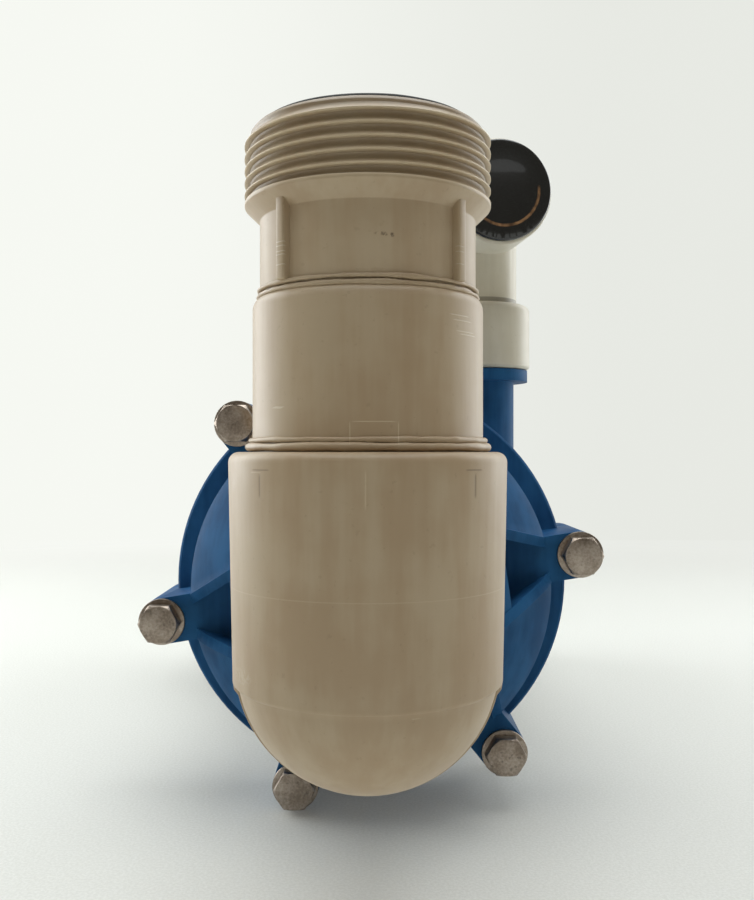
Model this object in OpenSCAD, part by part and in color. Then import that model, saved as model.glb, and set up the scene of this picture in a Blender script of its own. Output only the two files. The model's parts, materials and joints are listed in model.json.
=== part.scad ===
// Close-coupled centrifugal drainage pump. A moulded casing with clamping ears carries fused suction
// fittings in front and a capped discharge elbow above, and a foot-mounted motor drives it from behind.
// Millimetres, +Z up, suction side towards -Y. Origin: underside of the foot, centre of its four slots.
// Stations run rearwards along the shaft from the parting plane between suction cover and volute casing.

/* [Layout] */
// Height of the shaft above the base
axis_h = 88.9; // [88.9:0.1:110]
// From the parting plane back to the motor's bolting face
motor_face_s = 80; // [80:1:100]
// From the bolting face back to the first foot slots
foot_setback = 69.85; // [66:0.05:90]
// From the parting plane forward to the vertical axis of the suction fittings
riser_forward = 162; // [160:1:190]

/* [Casing clamp] */
// Number of casing bolts and ears
bolt_count = 6; // [5:1:8]
// Radius of the circle that the casing bolts sit on
bolt_circle_r = 84.5; // [83:0.5:85]
// Angle of the first bolt above the horizontal
bolt_phase = 9.1; // [5:0.1:12]
// Shank diameter of the casing bolts
bolt_d = 9.525; // [8:0.005:10]
// Width across flats of their heads and nuts
bolt_flats = 14.3; // [13:0.1:15]
// Height of their heads
bolt_head_h = 6.2; // [5:0.1:7]
// Height of their nuts
nut_h = 8.3; // [7:0.1:9]
// Thickness of the flat washers
washer_t = 1.7; // [1:0.1:2.5]
// Radius of an ear and of its washer
ear_r = 9.2; // [8.5:0.1:9.6]
// Clearance of a bolt in its hole, on the radius
bolt_gap = 0.35; // [0.2:0.05:0.6]

/* [Suction cover] */
// Distance of the ear faces in front of the parting plane
ear_front = 32; // [28:1:40]
// Outer radius of the clamping flanges
flange_r = 82.4; // [80:0.1:84]
// Thickness of the cover's flange
cover_flange_t = 7; // [5:0.5:9]
// Radius of the edge of the dome
dome_edge_r = 72; // [70:0.5:74]
// Height of the dome in front of its edge
dome_h = 30; // [24:1:34]
// Radius of the dome at its top
dome_top_r = 38; // [36:0.5:42]
// How far the dome bulges beyond a plain cone, as a share of its height
dome_bulge_share = 0.35; // [0.1:0.05:0.5]
// Wall thickness of the casing mouldings
casing_wall = 5; // [4:0.5:6]
// Thickness of the ribs on the ears
rib_t = 4; // [3:0.5:5]
// Angle by which the ribs of an ear spread inwards
rib_spread = 24; // [15:1:30]
// Length of a rib across the dome
rib_run = 26; // [20:1:30]
// How far the ribs stand proud of the dome
rib_proud = 1.6; // [1:0.1:3]
// Radius of the suction passage
suction_r = 25; // [23:0.5:25.5]
// Radius of the suction nozzle behind its collar
nozzle_r = 31.5; // [31:0.5:33]
// Radius of the nozzle's threaded tip
nozzle_thread_r = 29.6; // [28.5:0.1:29.8]
// Length of the nozzle's threaded tip
nozzle_thread_len = 20; // [16:1:21]
// Radius of the nozzle's collar
nozzle_collar_r = 35.5; // [34:0.5:38]
// Length of the nozzle's collar
nozzle_collar_len = 5; // [4:0.5:7]
// Length of the plain nozzle between dome and collar
nozzle_len = 2; // [2:0.5:6]

/* [Volute casing] */
// Sideways distance of the discharge nozzle from the shaft
discharge_x = 48.8; // [48:0.1:50]
// Station of the discharge nozzle's axis
discharge_s = 20.5; // [19:0.5:22]
// Radius of the discharge bore
discharge_bore_r = 12; // [11:0.5:12.5]
// Radius of the discharge nozzle
discharge_r = 15.5; // [15:0.1:16]
// Step between the arcs of the volute
volute_step = 4; // [3:0.25:5]
// Radius of the corners of the volute's section
volute_corner_r = 9; // [6:0.5:10]
// Thickness of the casing's flange
casing_flange_t = 8; // [6:0.5:10]
// Thickness of the casing's ears
casing_ear_t = 14; // [12:0.5:16]
// Radius of the opening that takes the impeller
mouth_r = 46; // [45:0.5:48]
// Height of the discharge collar's top above the shaft
collar_top_h = 90.7; // [88:0.1:95]
// Radius of the discharge collar
discharge_collar_r = 21.6; // [20:0.1:23]
// Length of the discharge collar
discharge_collar_len = 5; // [4:0.5:6]
// Radius of the discharge nozzle's threaded tip
discharge_thread_r = 16.4; // [16:0.1:16.8]
// Length of the discharge nozzle's threaded tip
discharge_thread_len = 16; // [12:1:18]
// Radius of the boss round the shaft seal
seal_boss_r = 27; // [26:0.5:29]
// How far the seal boss stands behind the casing's back
seal_boss_len = 14; // [13:0.5:18]

/* [Impeller and seal] */
// Outer radius of the impeller
impeller_r = 42; // [38:0.5:43]
// Number of impeller blades
blade_count = 6; // [4:1:8]
// Thickness of a blade
blade_t = 2.4; // [1.8:0.1:3]
// Width of the impeller's outlet
outlet_w = 9; // [7:0.5:10]
// Inner radius of the impeller's eye
eye_r = 21; // [19:0.5:21.5]
// Thickness of the impeller's shrouds
shroud_t = 2.6; // [2:0.1:3]
// Gap between the eye ring and the suction passage, on the radius
wear_gap = 0.4; // [0.3:0.05:0.6]
// Radius of the impeller's hub
hub_r = 13; // [12:0.5:15]
// Outer radius of the seal's stationary seat
seat_r = 14.4; // [14:0.1:15]
// Radius of the seal's rotating ring
seal_ring_r = 12.8; // [12:0.1:13.2]
// Gap between the two seal faces
seal_face_gap = 0.3; // [0.3:0.05:0.5]
// Radius of the wire of the seal's spring
spring_wire_r = 0.6; // [0.4:0.1:0.7]

/* [Shaft and bearings] */
// Radius of the shaft's pump end
shaft_r = 7.94; // [7:0.01:8]
// Radius of the shaft's threaded tip
shaft_tip_r = 5; // [4:0.5:6]
// Radius of the shaft between the bearings
shaft_mid_r = 10; // [9.5:0.5:11]
// Bore radius of the bearings
bearing_bore_r = 8.5; // [8.2:0.1:8.8]
// Outer radius of the bearings
bearing_r = 20; // [19:0.5:21]
// Width of the bearings
bearing_w = 12; // [10:0.5:13]
// Radius of the bearing balls
ball_r = 3; // [2.6:0.1:3.2]
// Number of balls in a bearing
ball_count = 8; // [6:1:9]
// Clearance of a ball in its tracks
ball_gap = 0.3; // [0.3:0.05:0.4]

/* [Motor] */
// Outer radius of the motor's shell
shell_r = 71; // [68:0.5:74]
// Wall of the motor's shell
shell_wall = 3; // [2:0.5:4]
// Length of the motor's shell
shell_len = 136; // [130:1:160]
// Radius of the bolting face
face_r = 82.5; // [81:0.5:84]
// Thickness of the bolting face
face_t = 11; // [9:0.5:12]
// Radius of the register on the bolting face
register_r = 57.15; // [55:0.05:60]
// Radius of the circle of the motor face bolts
face_bolt_circle_r = 74.6; // [74:0.1:75]
// Thickness of the stator's iron outside its slots
back_iron_t = 10; // [8:0.5:12]
// Depth of the stator's slots
slot_depth = 15; // [12:0.5:17]
// Air gap between rotor and stator
air_gap = 0.5; // [0.4:0.1:0.8]
// Length of the rotor and stator cores
core_len = 82; // [70:1:86]
// Number of stator slots
slot_count = 24; // [18:6:36]
// Number of rotor bars
bar_count = 20; // [12:1:24]
// Number of fan blades
fan_blade_count = 8; // [5:1:12]
// Outer radius of the fan
fan_r = 62; // [50:1:64]
// How far the fan cover stands out beyond the shell
cowl_step = 5.5; // [5:0.5:9]
// Wall of the fan cover
cowl_wall = 1.6; // [1.2:0.1:2.5]
// Length of the fan cover
cowl_len = 44; // [42:1:60]
// Number of rings in the fan cover's grille
grille_rings = 6; // [4:1:7]

/* [Foot] */
// Distance between the slots across the shaft
slots_across = 123.8; // [118:0.1:126]
// Distance between the slots along the shaft
slots_along = 76.2; // [70:0.1:80]
// Width of a slot
slot_w = 8.7; // [7:0.1:10]
// Length of a slot
slot_len = 14; // [12:0.5:16]
// Width of the foot
foot_w = 165; // [160:1:175]
// Length of the foot
foot_len = 106; // [104:1:120]
// Thickness of the foot's steel
foot_t = 4; // [3:0.5:5]
// Height of the foot's cradle plates
cradle_h = 46; // [40:1:55]

/* [Terminal box] */
// Size of the terminal box along the shaft
box_len = 64; // [58:1:70]
// Height of the terminal box
box_h = 56; // [50:1:60]
// How far the box stands out beyond the shell
box_stand = 24; // [21:1:27]
// Wall of the terminal box
box_wall = 2.6; // [2:0.1:3.5]
// Thickness of the box's lid
lid_t = 3; // [2:0.5:4]
// Thickness of the lid's gasket
gasket_t = 1; // [0.8:0.1:2]
// Radius of the gland's cable bore
gland_bore_r = 5; // [4:0.5:6]
// Width across flats of the gland
gland_flats = 22; // [20:0.5:24]

/* [Suction fittings] */
// From the elbow's centre to the rim of each socket
elbow_leg = 54.3; // [52:0.1:58]
// Radius of the elbow's sockets at their rims
socket_r = 36.4; // [35.5:0.1:38]
// Radius of the sockets where they meet the bend
socket_root_r = 35.3; // [35:0.1:36.5]
// Radius of the elbow's bend
bend_r = 34.3; // [33:0.1:35]
// How far the sockets run past the elbow's centre
socket_over = 6; // [4:0.5:8]
// Radius of the rounding of the socket rims
rim_round_r = 2.7; // [1.5:0.1:3.5]
// Depth of the elbow's sockets
socket_depth = 24; // [20:0.5:24]
// Radius of the pipe that fits the sockets
pipe_r = 30.15; // [29.5:0.05:31]
// Height of the sleeve's shoulder above the elbow's rim
sleeve_h = 40; // [36:0.5:48]
// Rounding of the sleeve's shoulder
shoulder_r = 3.4; // [2:0.1:4]
// Radius of the melt beads
bead_r = 1.1; // [0.8:0.1:1.3]
// Gap between the sleeve's shoulder and the union end, filled by a bead
joint_gap = 1.6; // [1.2:0.1:2]
// Radius of the union end's neck
neck_r = 28.25; // [28:0.05:29.5]
// Height of the union end's neck
neck_h = 18; // [15:0.5:22]
// Height of the cone between the neck and the thread
neck_cone_h = 3.8; // [3:0.1:5]
// Outer radius of the union thread
thread_r = 32.2; // [31.8:0.1:33]
// Pitch of the union thread
thread_pitch = 3.175; // [3:0.005:3.4]
// Depth of the union thread
thread_depth = 1.5; // [1:0.1:1.8]
// Number of thread crests
thread_turns = 5; // [4:1:6]
// Height of the plain rim above the thread
union_rim_h = 2.2; // [1.8:0.1:4]
// Number of ribs on the union end's neck
neck_rib_count = 3; // [3:1:6]
// Thickness of the ribs on the neck
neck_rib_t = 2.9; // [2:0.1:4]
// Direction of the first rib on the neck, from +X
neck_rib_phase = 213; // [200:1:240]
// Outer radius of the suction adapter's body
adapter_r = 38; // [37:0.5:42]

/* [Discharge fittings] */
// Outer radius of the discharge adapter
discharge_adapter_r = 22.5; // [22:0.1:24]
// Height of the discharge adapter
discharge_adapter_h = 28.8; // [26:0.1:32]
// Radius of the street elbow's spigot
spigot_r = 16.7; // [16.2:0.05:17]
// Height of the street elbow's centre above the adapter
street_rise = 43.3; // [40:0.1:50]
// From the street elbow's centre to its outlet face
street_leg = 36.5; // [34:0.1:40]
// Outer radius of the street elbow's socket
street_socket_r = 22.25; // [21.8:0.05:23.5]
// Length of the street elbow's socket
street_socket_len = 25; // [22:0.5:27]
// Bore radius of the street elbow's socket
street_bore_r = 16.9; // [16.8:0.05:17.2]
// Turn of the street elbow's outlet towards +X
street_turn = 8; // [0:1:20]
// Radius of the outlet cap's disc
cap_r = 21.2; // [20:0.1:21.8]
// Thickness of the cap's disc at its edge
cap_t = 2.2; // [1.5:0.1:3]
// Depth of the cap's plug
cap_plug_len = 12; // [8:0.5:14]
// Clearance of the cap's plug in the socket, on the radius
cap_gap = 0.35; // [0.3:0.05:0.5]

/* [Hidden] */
$fn = 72;
overrun = 1;
arc_steps = 6;
fit = 0.05;
edge = 1;

casing_blue = [0.10, 0.22, 0.36];
fitting_beige = [0.66, 0.60, 0.50];
fitting_white = [0.78, 0.77, 0.72];
steel = [0.62, 0.62, 0.60];
dark_rubber = [0.05, 0.05, 0.05];
motor_grey = [0.16, 0.17, 0.19];
cast_alloy = [0.60, 0.61, 0.63];
lamination = [0.38, 0.38, 0.40];
copper = [0.72, 0.42, 0.22];
cap_black = [0.03, 0.03, 0.03];

// The parting plane's place along Y follows from the foot, the motor face and the stack between them.
parting_y = -(motor_face_s + foot_setback + slots_along / 2);
ear_angles = [for (k = [0:bolt_count - 1]) bolt_phase + k * 360 / bolt_count];
// The bolt beside the discharge nozzle has no room for a nut and screws into a blind boss of the casing.
blind_ear = 1;
nut_angles = [for (k = [0:bolt_count - 1]) if (k != blind_ear) ear_angles[k]];
face_bolt_angles = [45, 135, 225, 315];
through_angles = [0, 90, 180, 270];

// Stations of the suction nozzle, from the dome forwards
dome_top_s = -(ear_front + dome_h);
nozzle_back_s = dome_top_s - (dome_top_r - nozzle_r) / 2;
collar_back_s = nozzle_back_s - nozzle_len;
collar_front_s = collar_back_s - nozzle_collar_len;
nozzle_tip_s = collar_front_s - nozzle_thread_len;
// The suction passage ends a little behind the parting plane, round the impeller's eye.
passage_end_s = 2;
passage_wall = 4.5;
// How much thicker the dome is kept along the shaft, and how far its hollow leans in, in walls
dome_wall_shares = [1.3, 0.7];

// Stations of the casing and the seal
volute_front_s = discharge_s - discharge_bore_r;
volute_back_s = discharge_s + discharge_bore_r;
casing_back_s = volute_back_s + casing_wall;
seal_boss_s = casing_back_s + seal_boss_len;
seat_t = 7;
seal_lip_t = 3;
seat_front_s = seal_boss_s - seal_lip_t - seat_t;
volute_end_r = discharge_x + discharge_bore_r - volute_step / 2;

bolt_end_s = casing_ear_t + washer_t + nut_h + bolt_d / 4;

// Stations of the impeller
outlet_front_s = discharge_s - outlet_w / 2;
outlet_back_s = discharge_s + outlet_w / 2;
eye_ring_t = suction_r - wear_gap - eye_r;
eye_neck_len = 8;
eye_front_s = passage_end_s - eye_neck_len;
eye_flare_len = 8;
eye_back_s = outlet_front_s - eye_flare_len;
hub_boss_len = 3;
hub_back_s = outlet_back_s + shroud_t + hub_boss_len;
hub_nose_len = 7;
hub_front_s = outlet_back_s - hub_nose_len;
impeller_nut_h = 7;
impeller_nut_share = 1.7;

// Stations of the motor
bell_neck_len = 9;
shell_front_s = motor_face_s + face_t + bell_neck_len;
shell_back_s = shell_front_s + shell_len;
spigot_len = 6;
register_len = 3;
rear_bell_t = 10;
rear_bell_back_s = shell_back_s + rear_bell_t;
front_bearing_s = motor_face_s + bearing_w;
rear_bearing_inset = 2;
rear_bearing_s = shell_back_s - rear_bearing_inset;
core_s = (front_bearing_s + bearing_w + rear_bearing_s - core_len) / 2;
bearing_pocket_wall = 5;
bearing_hub_r = bearing_r + bearing_pocket_wall;
track_r = (bearing_bore_r + bearing_r) / 2;
fan_gap = 8;
fan_s = rear_bell_back_s + fan_gap;
fan_w = 16;
cowl_overlap = 8;
cowl_r = shell_r + cowl_step;
cowl_s = rear_bell_back_s - cowl_overlap;
cowl_end_s = cowl_s + cowl_len;
fan_hub_r = 13;
fan_shaft_r = 7;

// Places of the fittings
riser_y = parting_y - riser_forward;
rim_z = axis_h + elbow_leg;
sleeve_top_z = rim_z + sleeve_h;
union_z = sleeve_top_z + joint_gap;
thread_z = union_z + neck_h + neck_cone_h;
thread_run_out_share = 0.5;
thread_end_z = thread_z + (thread_turns + thread_run_out_share) * thread_pitch;
union_top_z = thread_end_z + union_rim_h;
discharge_y = parting_y + discharge_s;
collar_top_z = axis_h + collar_top_h;
adapter_gap = 0.3;
adapter_z = collar_top_z + adapter_gap;
adapter_top_z = adapter_z + discharge_adapter_h;
street_z = adapter_top_z + street_rise;

// Sizes of the smaller pieces
o_ring_r = 1.5;
o_ring_seat_share = 1.5;
o_ring_mid_r = dome_edge_r - o_ring_seat_share * o_ring_r;
blade_curve_share = 0.62;
blade_centre_shares = [0.92, 0.22];
blade_arc_r = impeller_r * blade_curve_share;
seal_ring_t = 3;
seal_ring_s = seat_front_s - seal_face_gap - seal_ring_t;
bellows_t = 1.8;
bracket_gap = 6.5;
bracket_screw_r = 40;
bracket_boss_r = 8;
bracket_screw_d = 6;
bracket_plate_r = 52;
bracket_plate_t = 6;
bracket_plate_s = casing_back_s + bracket_gap;
bracket_ring_t = 10;
bracket_window_share = 1.15;
bracket_head_share = 0.8;
cage_ring_t = 6;
bar_r = 2.2;
shell_bore_r = shell_r - shell_wall;
tooth_tip_t = 2;
rotor_r = shell_bore_r - back_iron_t - slot_depth - tooth_tip_t - air_gap;
bar_circle_r = rotor_r - bar_r - 2 * edge;
land_share = 0.7;
land = land_share * ball_r;
through_inset = 3.5;
through_r = shell_bore_r - through_inset;
through_d = 5;
through_head_share = 1.6;
spigot_wall = 5;
slot_out_r = shell_bore_r - back_iron_t;
slot_in_r = slot_out_r - slot_depth;
slot_width = PI * slot_in_r / slot_count;
stator_angles = [for (k = [0:slot_count - 1]) (k + 0.5) * 360 / slot_count];
cowl_screw_d = 4;
pan_head_share = 0.9;
box_drop = -10;
box_root_share = 0.8;
lid_lip_share = 2.2;
box_place_share = 0.625;
box_reach = shell_r + box_stand;
box_s = shell_front_s + box_place_share * (shell_len - box_len);
lid_screw_d = 4;
lid_screw_inset = 6;
lid_screw_places = [for (y = [-1, 1], z = [-1, 1])
    [parting_y + box_s + box_len / 2 + y * (box_len / 2 - lid_screw_inset),
     axis_h + box_drop + z * (box_h / 2 - lid_screw_inset)]];
gland_thread_r = 8;
gland_x = (shell_r + box_reach) / 2 + box_wall;
gland_body_len = 6;
gland_dome_wall = 2;
gland_nut_len = 13;
bead_pitch_share = 1.5;
bead_top_share = 2.6;
shoulder_sweep = 70;
thread_start_share = 0.4;
thread_shares = [0.35, 0.6, 0.95];
rim_start_share = 0.3;
groove_w = 2;
groove_mid_r = (suction_r + thread_r - thread_depth - edge) / 2;
street_depth = 10;
street_bend_r = 18.2;

// Points of a round stretch of an outline
function arc(cx, cy, r, a0, a1) =
    [for (i = [0:arc_steps]) let (a = a0 + (a1 - a0) * i / arc_steps) [cx + r * cos(a), cy + r * sin(a)]];

// How far the dome stands in front of the parting plane at a radius
function dome_share(r) = (dome_edge_r - r) / (dome_edge_r - dome_top_r);
function dome_front(r) =
    let (u = max(0, min(1, dome_share(r)))) ear_front + dome_h * (u + dome_bulge_share * u * (1 - u));

// A plate square to the shaft, from one station rearwards; its outline is drawn as seen from the front.
module plate_at(s, t) {
    translate([0, parting_y + s + t, axis_h])
        rotate([90, 0, 0])
            linear_extrude(t) children();
}

// A body turned about the shaft; its outline gives radius and station.
module turned() {
    translate([0, parting_y, axis_h])
        rotate([-90, 0, 0])
            rotate_extrude() children();
}

// Copies its children round the shaft, in the plane seen from the front.
module around(angles, r) {
    for (a = angles)
        rotate(a)
            translate([r, 0]) children();
}

module hexagon(flats) {
    circle(d = flats / cos(30), $fn = 6);
}

module ring(outer, inner) {
    difference() {
        circle(outer);
        circle(inner);
    }
}

// A hexagon head or nut with its corners turned off, standing forwards from a station.
module hex_head(s, h, flats) {
    corner_r = flats / 2 / cos(30);
    intersection() {
        plate_at(s - h, h) around([0], 0) hexagon(flats);
        turned() polygon([[0, s - h], [flats / 2, s - h], [corner_r, s - h + (corner_r - flats / 2)],
                          [corner_r, s], [0, s]]);
    }
}

// A bolt head on the line of each bolt: the head is made on the shaft and moved out to the bolt circle.
module at_bolts(angles, r) {
    for (a = angles)
        translate([r * cos(a), 0, r * sin(a)]) children();
}

module ear_outline(inner_r) {
    around(ear_angles, 0) {
        translate([bolt_circle_r, 0]) circle(ear_r);
        translate([inner_r, -ear_r]) square([bolt_circle_r - inner_r, 2 * ear_r]);
    }
}

/* Suction cover */

// The side of one ear rib: it follows the dome's curve a little proud of it.
module ear_rib(side) {
    start_u = dome_edge_r - edge;
    start_v = ear_r - rib_t / 2;
    steps = 8;
    top = [for (i = [0:steps]) let (
               t = rib_run * i / steps,
               u = start_u - t * cos(rib_spread),
               v = start_v + t * sin(rib_spread)
           ) [t, dome_front(norm([u, v])) + (i == 0 ? 0 : rib_proud)]];
    translate([start_u, side * start_v, 0])
        rotate([0, 0, 180 - side * rib_spread])
            translate([0, rib_t / 2, 0])
                rotate([90, 0, 0])
                    linear_extrude(rib_t)
                        polygon(concat([[0, cover_flange_t]], top, [[rib_run, cover_flange_t]]));
}

// Half the width between the inner faces of an ear's two ribs, at a distance from the shaft
function pocket_half(u) = ear_r - rib_t / 2 - rib_t / 2 / cos(rib_spread) + (dome_edge_r - edge - u) * tan(rib_spread);

// The flat pocket between the ribs of an ear, widened where a wall is kept round it.
module pocket_outline(grow) {
    out_u = dome_edge_r + ear_r;
    in_u = dome_edge_r - rib_run * cos(rib_spread) + rib_t - grow;
    start_u = dome_edge_r - edge;
    out_v = pocket_half(start_u) + grow;
    in_v = pocket_half(in_u) + grow;
    polygon([[start_u, -out_v], [out_u, -out_v], [out_u, out_v], [start_u, out_v], [in_u, in_v], [in_u, -in_v]]);
}

// What is faced off flat at an ear: the pocket and the tab round the bolt
module ear_facing() {
    around(ear_angles, 0) {
        pocket_outline(fit);
        translate([dome_edge_r - edge / 2, -ear_r - edge]) square([bolt_circle_r - dome_edge_r, 2 * (ear_r + edge)]);
        translate([bolt_circle_r, 0]) circle(ear_r + edge);
    }
}

module cover_shell() {
    dome_steps = 10;
    dome_points = [for (i = [0:dome_steps])
        let (r = dome_top_r + (dome_edge_r - dome_top_r) * i / dome_steps) [r, -dome_front(r)]];
    turned() polygon(concat(
        [[0, nozzle_tip_s], [nozzle_thread_r - edge, nozzle_tip_s], [nozzle_thread_r, nozzle_tip_s + edge],
         [nozzle_thread_r, collar_front_s], [nozzle_collar_r, collar_front_s],
         [nozzle_collar_r, collar_back_s], [nozzle_r, collar_back_s], [nozzle_r, nozzle_back_s]],
        dome_points,
        [[dome_edge_r + edge, -cover_flange_t], [flange_r - edge, -cover_flange_t],
         [flange_r, edge - cover_flange_t], [flange_r, 0], [0, 0]]));
    plate_at(-ear_front - edge / 2, ear_front + edge / 2) ear_outline(dome_edge_r - rib_t);
    for (a = ear_angles, side = [-1, 1])
        translate([0, parting_y, axis_h])
            rotate([90, 0, 0])
                rotate([0, 0, a]) ear_rib(side);
}

// The hollow behind the dome, one wall thinner than the shell and clear of the pockets.
module cover_chamber() {
    steps = 8;
    low_r = suction_r + passage_wall;
    high_r = dome_edge_r - casing_wall;
    points = [for (i = [0:steps])
        let (r = low_r + (high_r - low_r) * i / steps)
            [r, casing_wall * dome_wall_shares[0]
             - dome_front(max(dome_top_r, r + casing_wall * dome_wall_shares[1]))]];
    difference() {
        turned() polygon(concat(points, [
            [high_r, -2 * cover_flange_t], [high_r - casing_wall, -cover_flange_t],
            [high_r - casing_wall, 2 * casing_wall], [low_r, 2 * casing_wall]]));
        plate_at(-ear_front - dome_h, dome_h + casing_wall)
            around(ear_angles, 0) pocket_outline(casing_wall);
    }
}

module suction_cover() {
    spigot_r = dome_edge_r - casing_wall;
    color(casing_blue) difference() {
        union() {
            cover_shell();
            plate_at(-edge, casing_wall) ring(spigot_r, spigot_r - casing_wall - edge);
            plate_at(-edge, passage_end_s + edge) circle(suction_r + passage_wall + edge);
        }
        cover_chamber();
        plate_at(nozzle_tip_s - overrun, passage_end_s - nozzle_tip_s + 2 * overrun) circle(suction_r);
        plate_at(-ear_front - dome_h, dome_h) ear_facing();
        plate_at(-ear_front - overrun, ear_front + 2 * overrun)
            around(ear_angles, bolt_circle_r) circle(bolt_d / 2 + bolt_gap);
    }
}

/* Volute casing */

// The spiral as four quarter turns, each about a corner of a small square and one step larger.
module scroll(grow, s0, s1, corner) {
    corners = [[-1, 1], [-1, -1], [1, -1], [1, 1]];
    for (k = [0:3]) {
        r = volute_end_r - (3 - k) * volute_step + grow;
        translate([corners[k][0] * volute_step / 2, parting_y, axis_h + corners[k][1] * volute_step / 2])
            rotate([90, 0, 0])
                rotate(90 * k)
                    rotate_extrude(angle = 90)
                        polygon(concat([[0, -s1]], arc(r - corner, corner - s1, corner, -90, 0),
                                       arc(r - corner, -s0 - corner, corner, 0, 90), [[0, -s0]]));
    }
    plate_at(s0, s1 - s0) circle(hub_r);
}

module riser_at_discharge(z0, z1, r) {
    translate([discharge_x, discharge_y, z0]) cylinder(h = z1 - z0, r = r);
}

module casing_body() {
    back_rib_count = 8;
    back_rib_t = 4;
    plate_at(0, casing_flange_t) circle(flange_r);
    plate_at(0, casing_ear_t) ear_outline(dome_edge_r - rib_t);
    plate_at(0, bolt_end_s + casing_wall) around([ear_angles[blind_ear]], bolt_circle_r) circle(ear_r);
    scroll(casing_wall, volute_front_s - casing_wall, casing_back_s, volute_corner_r + casing_wall);
    plate_at(casing_flange_t - edge, seal_boss_s - casing_flange_t + edge) circle(seal_boss_r);
    plate_at(casing_back_s - casing_wall, casing_wall + bracket_gap)
        around(face_bolt_angles, bracket_screw_r) circle(bracket_boss_r);
    plate_at(casing_back_s - casing_wall, casing_wall + bracket_gap / 2)
        for (k = [0:back_rib_count - 1])
            rotate(k * 360 / back_rib_count)
                translate([0, -back_rib_t / 2]) square([bracket_plate_r, back_rib_t]);
    riser_at_discharge(axis_h, collar_top_z, discharge_r);
    riser_at_discharge(collar_top_z - discharge_collar_len, collar_top_z, discharge_collar_r);
    riser_at_discharge(axis_h, collar_top_z + discharge_thread_len, discharge_thread_r - edge);
    riser_at_discharge(collar_top_z, collar_top_z + discharge_thread_len - edge, discharge_thread_r);
}

module volute_casing() {
    spigot_clear_r = dome_edge_r - casing_wall + fit;
    color(casing_blue) difference() {
        casing_body();
        plate_at(-overrun, casing_wall - edge + fit + overrun) circle(spigot_clear_r);
        turned() polygon([[o_ring_mid_r - o_ring_r, -overrun], [o_ring_mid_r + o_ring_r, -overrun],
                          [o_ring_mid_r + o_ring_r, 2 * o_ring_r], [o_ring_mid_r - o_ring_r, 2 * o_ring_r]]);
        plate_at(-overrun, volute_back_s + overrun) circle(mouth_r);
        scroll(0, volute_front_s, volute_back_s, volute_corner_r);
        riser_at_discharge(axis_h, collar_top_z + discharge_thread_len + overrun, discharge_bore_r);
        plate_at(volute_back_s - overrun, seat_front_s - volute_back_s + overrun) circle(seal_boss_r - casing_wall);
        plate_at(seat_front_s - overrun, seat_t + overrun) circle(seat_r);
        plate_at(seat_front_s, seal_boss_s - seat_front_s + overrun) circle(shaft_r + 2 * edge);
        plate_at(volute_back_s + casing_wall / 2, casing_wall + bracket_gap)
            around(face_bolt_angles, bracket_screw_r) circle(bracket_screw_d / 2 - fit);
        plate_at(-overrun, casing_ear_t + 2 * overrun)
            around(nut_angles, bolt_circle_r) circle(bolt_d / 2 + bolt_gap);
        plate_at(-overrun, bolt_end_s + edge + overrun)
            around([ear_angles[blind_ear]], bolt_circle_r) circle(bolt_d / 2 + fit);
    }
}

module casing_o_ring() {
    color(dark_rubber) turned() translate([o_ring_mid_r, o_ring_r]) circle(o_ring_r, $fn = 24);
}

module casing_bolts() {
    seat_s = -ear_front - washer_t;
    color(steel) at_bolts(ear_angles, bolt_circle_r) {
        hex_head(seat_s, bolt_head_h, bolt_flats);
        plate_at(seat_s - edge, bolt_end_s - seat_s + edge) circle(bolt_d / 2);
    }
}

module casing_washers() {
    color(steel) {
        plate_at(-ear_front - washer_t, washer_t)
            around(ear_angles, bolt_circle_r) ring(ear_r, bolt_d / 2 + bolt_gap);
        plate_at(casing_ear_t, washer_t) around(nut_angles, bolt_circle_r) ring(ear_r, bolt_d / 2 + bolt_gap);
    }
}

module casing_nuts() {
    color(steel) difference() {
        at_bolts(nut_angles, bolt_circle_r)
            hex_head(casing_ear_t + washer_t + nut_h, nut_h, bolt_flats);
        plate_at(casing_ear_t, nut_h + washer_t + overrun)
            around(nut_angles, bolt_circle_r) circle(bolt_d / 2 + fit);
    }
}

/* Impeller and shaft seal */

// One backward curved blade: a stretch of a thin ring whose centre lies off the shaft.
module blade_outline() {
    intersection() {
        ring(impeller_r - edge / 2, hub_r - edge);
        translate([blade_arc_r * blade_centre_shares[0], -blade_arc_r * blade_centre_shares[1]])
            intersection() {
                ring(blade_arc_r + blade_t / 2, blade_arc_r - blade_t / 2);
                translate([-2 * blade_arc_r, 0]) square([3 * blade_arc_r, 2 * blade_arc_r]);
            }
    }
}

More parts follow.
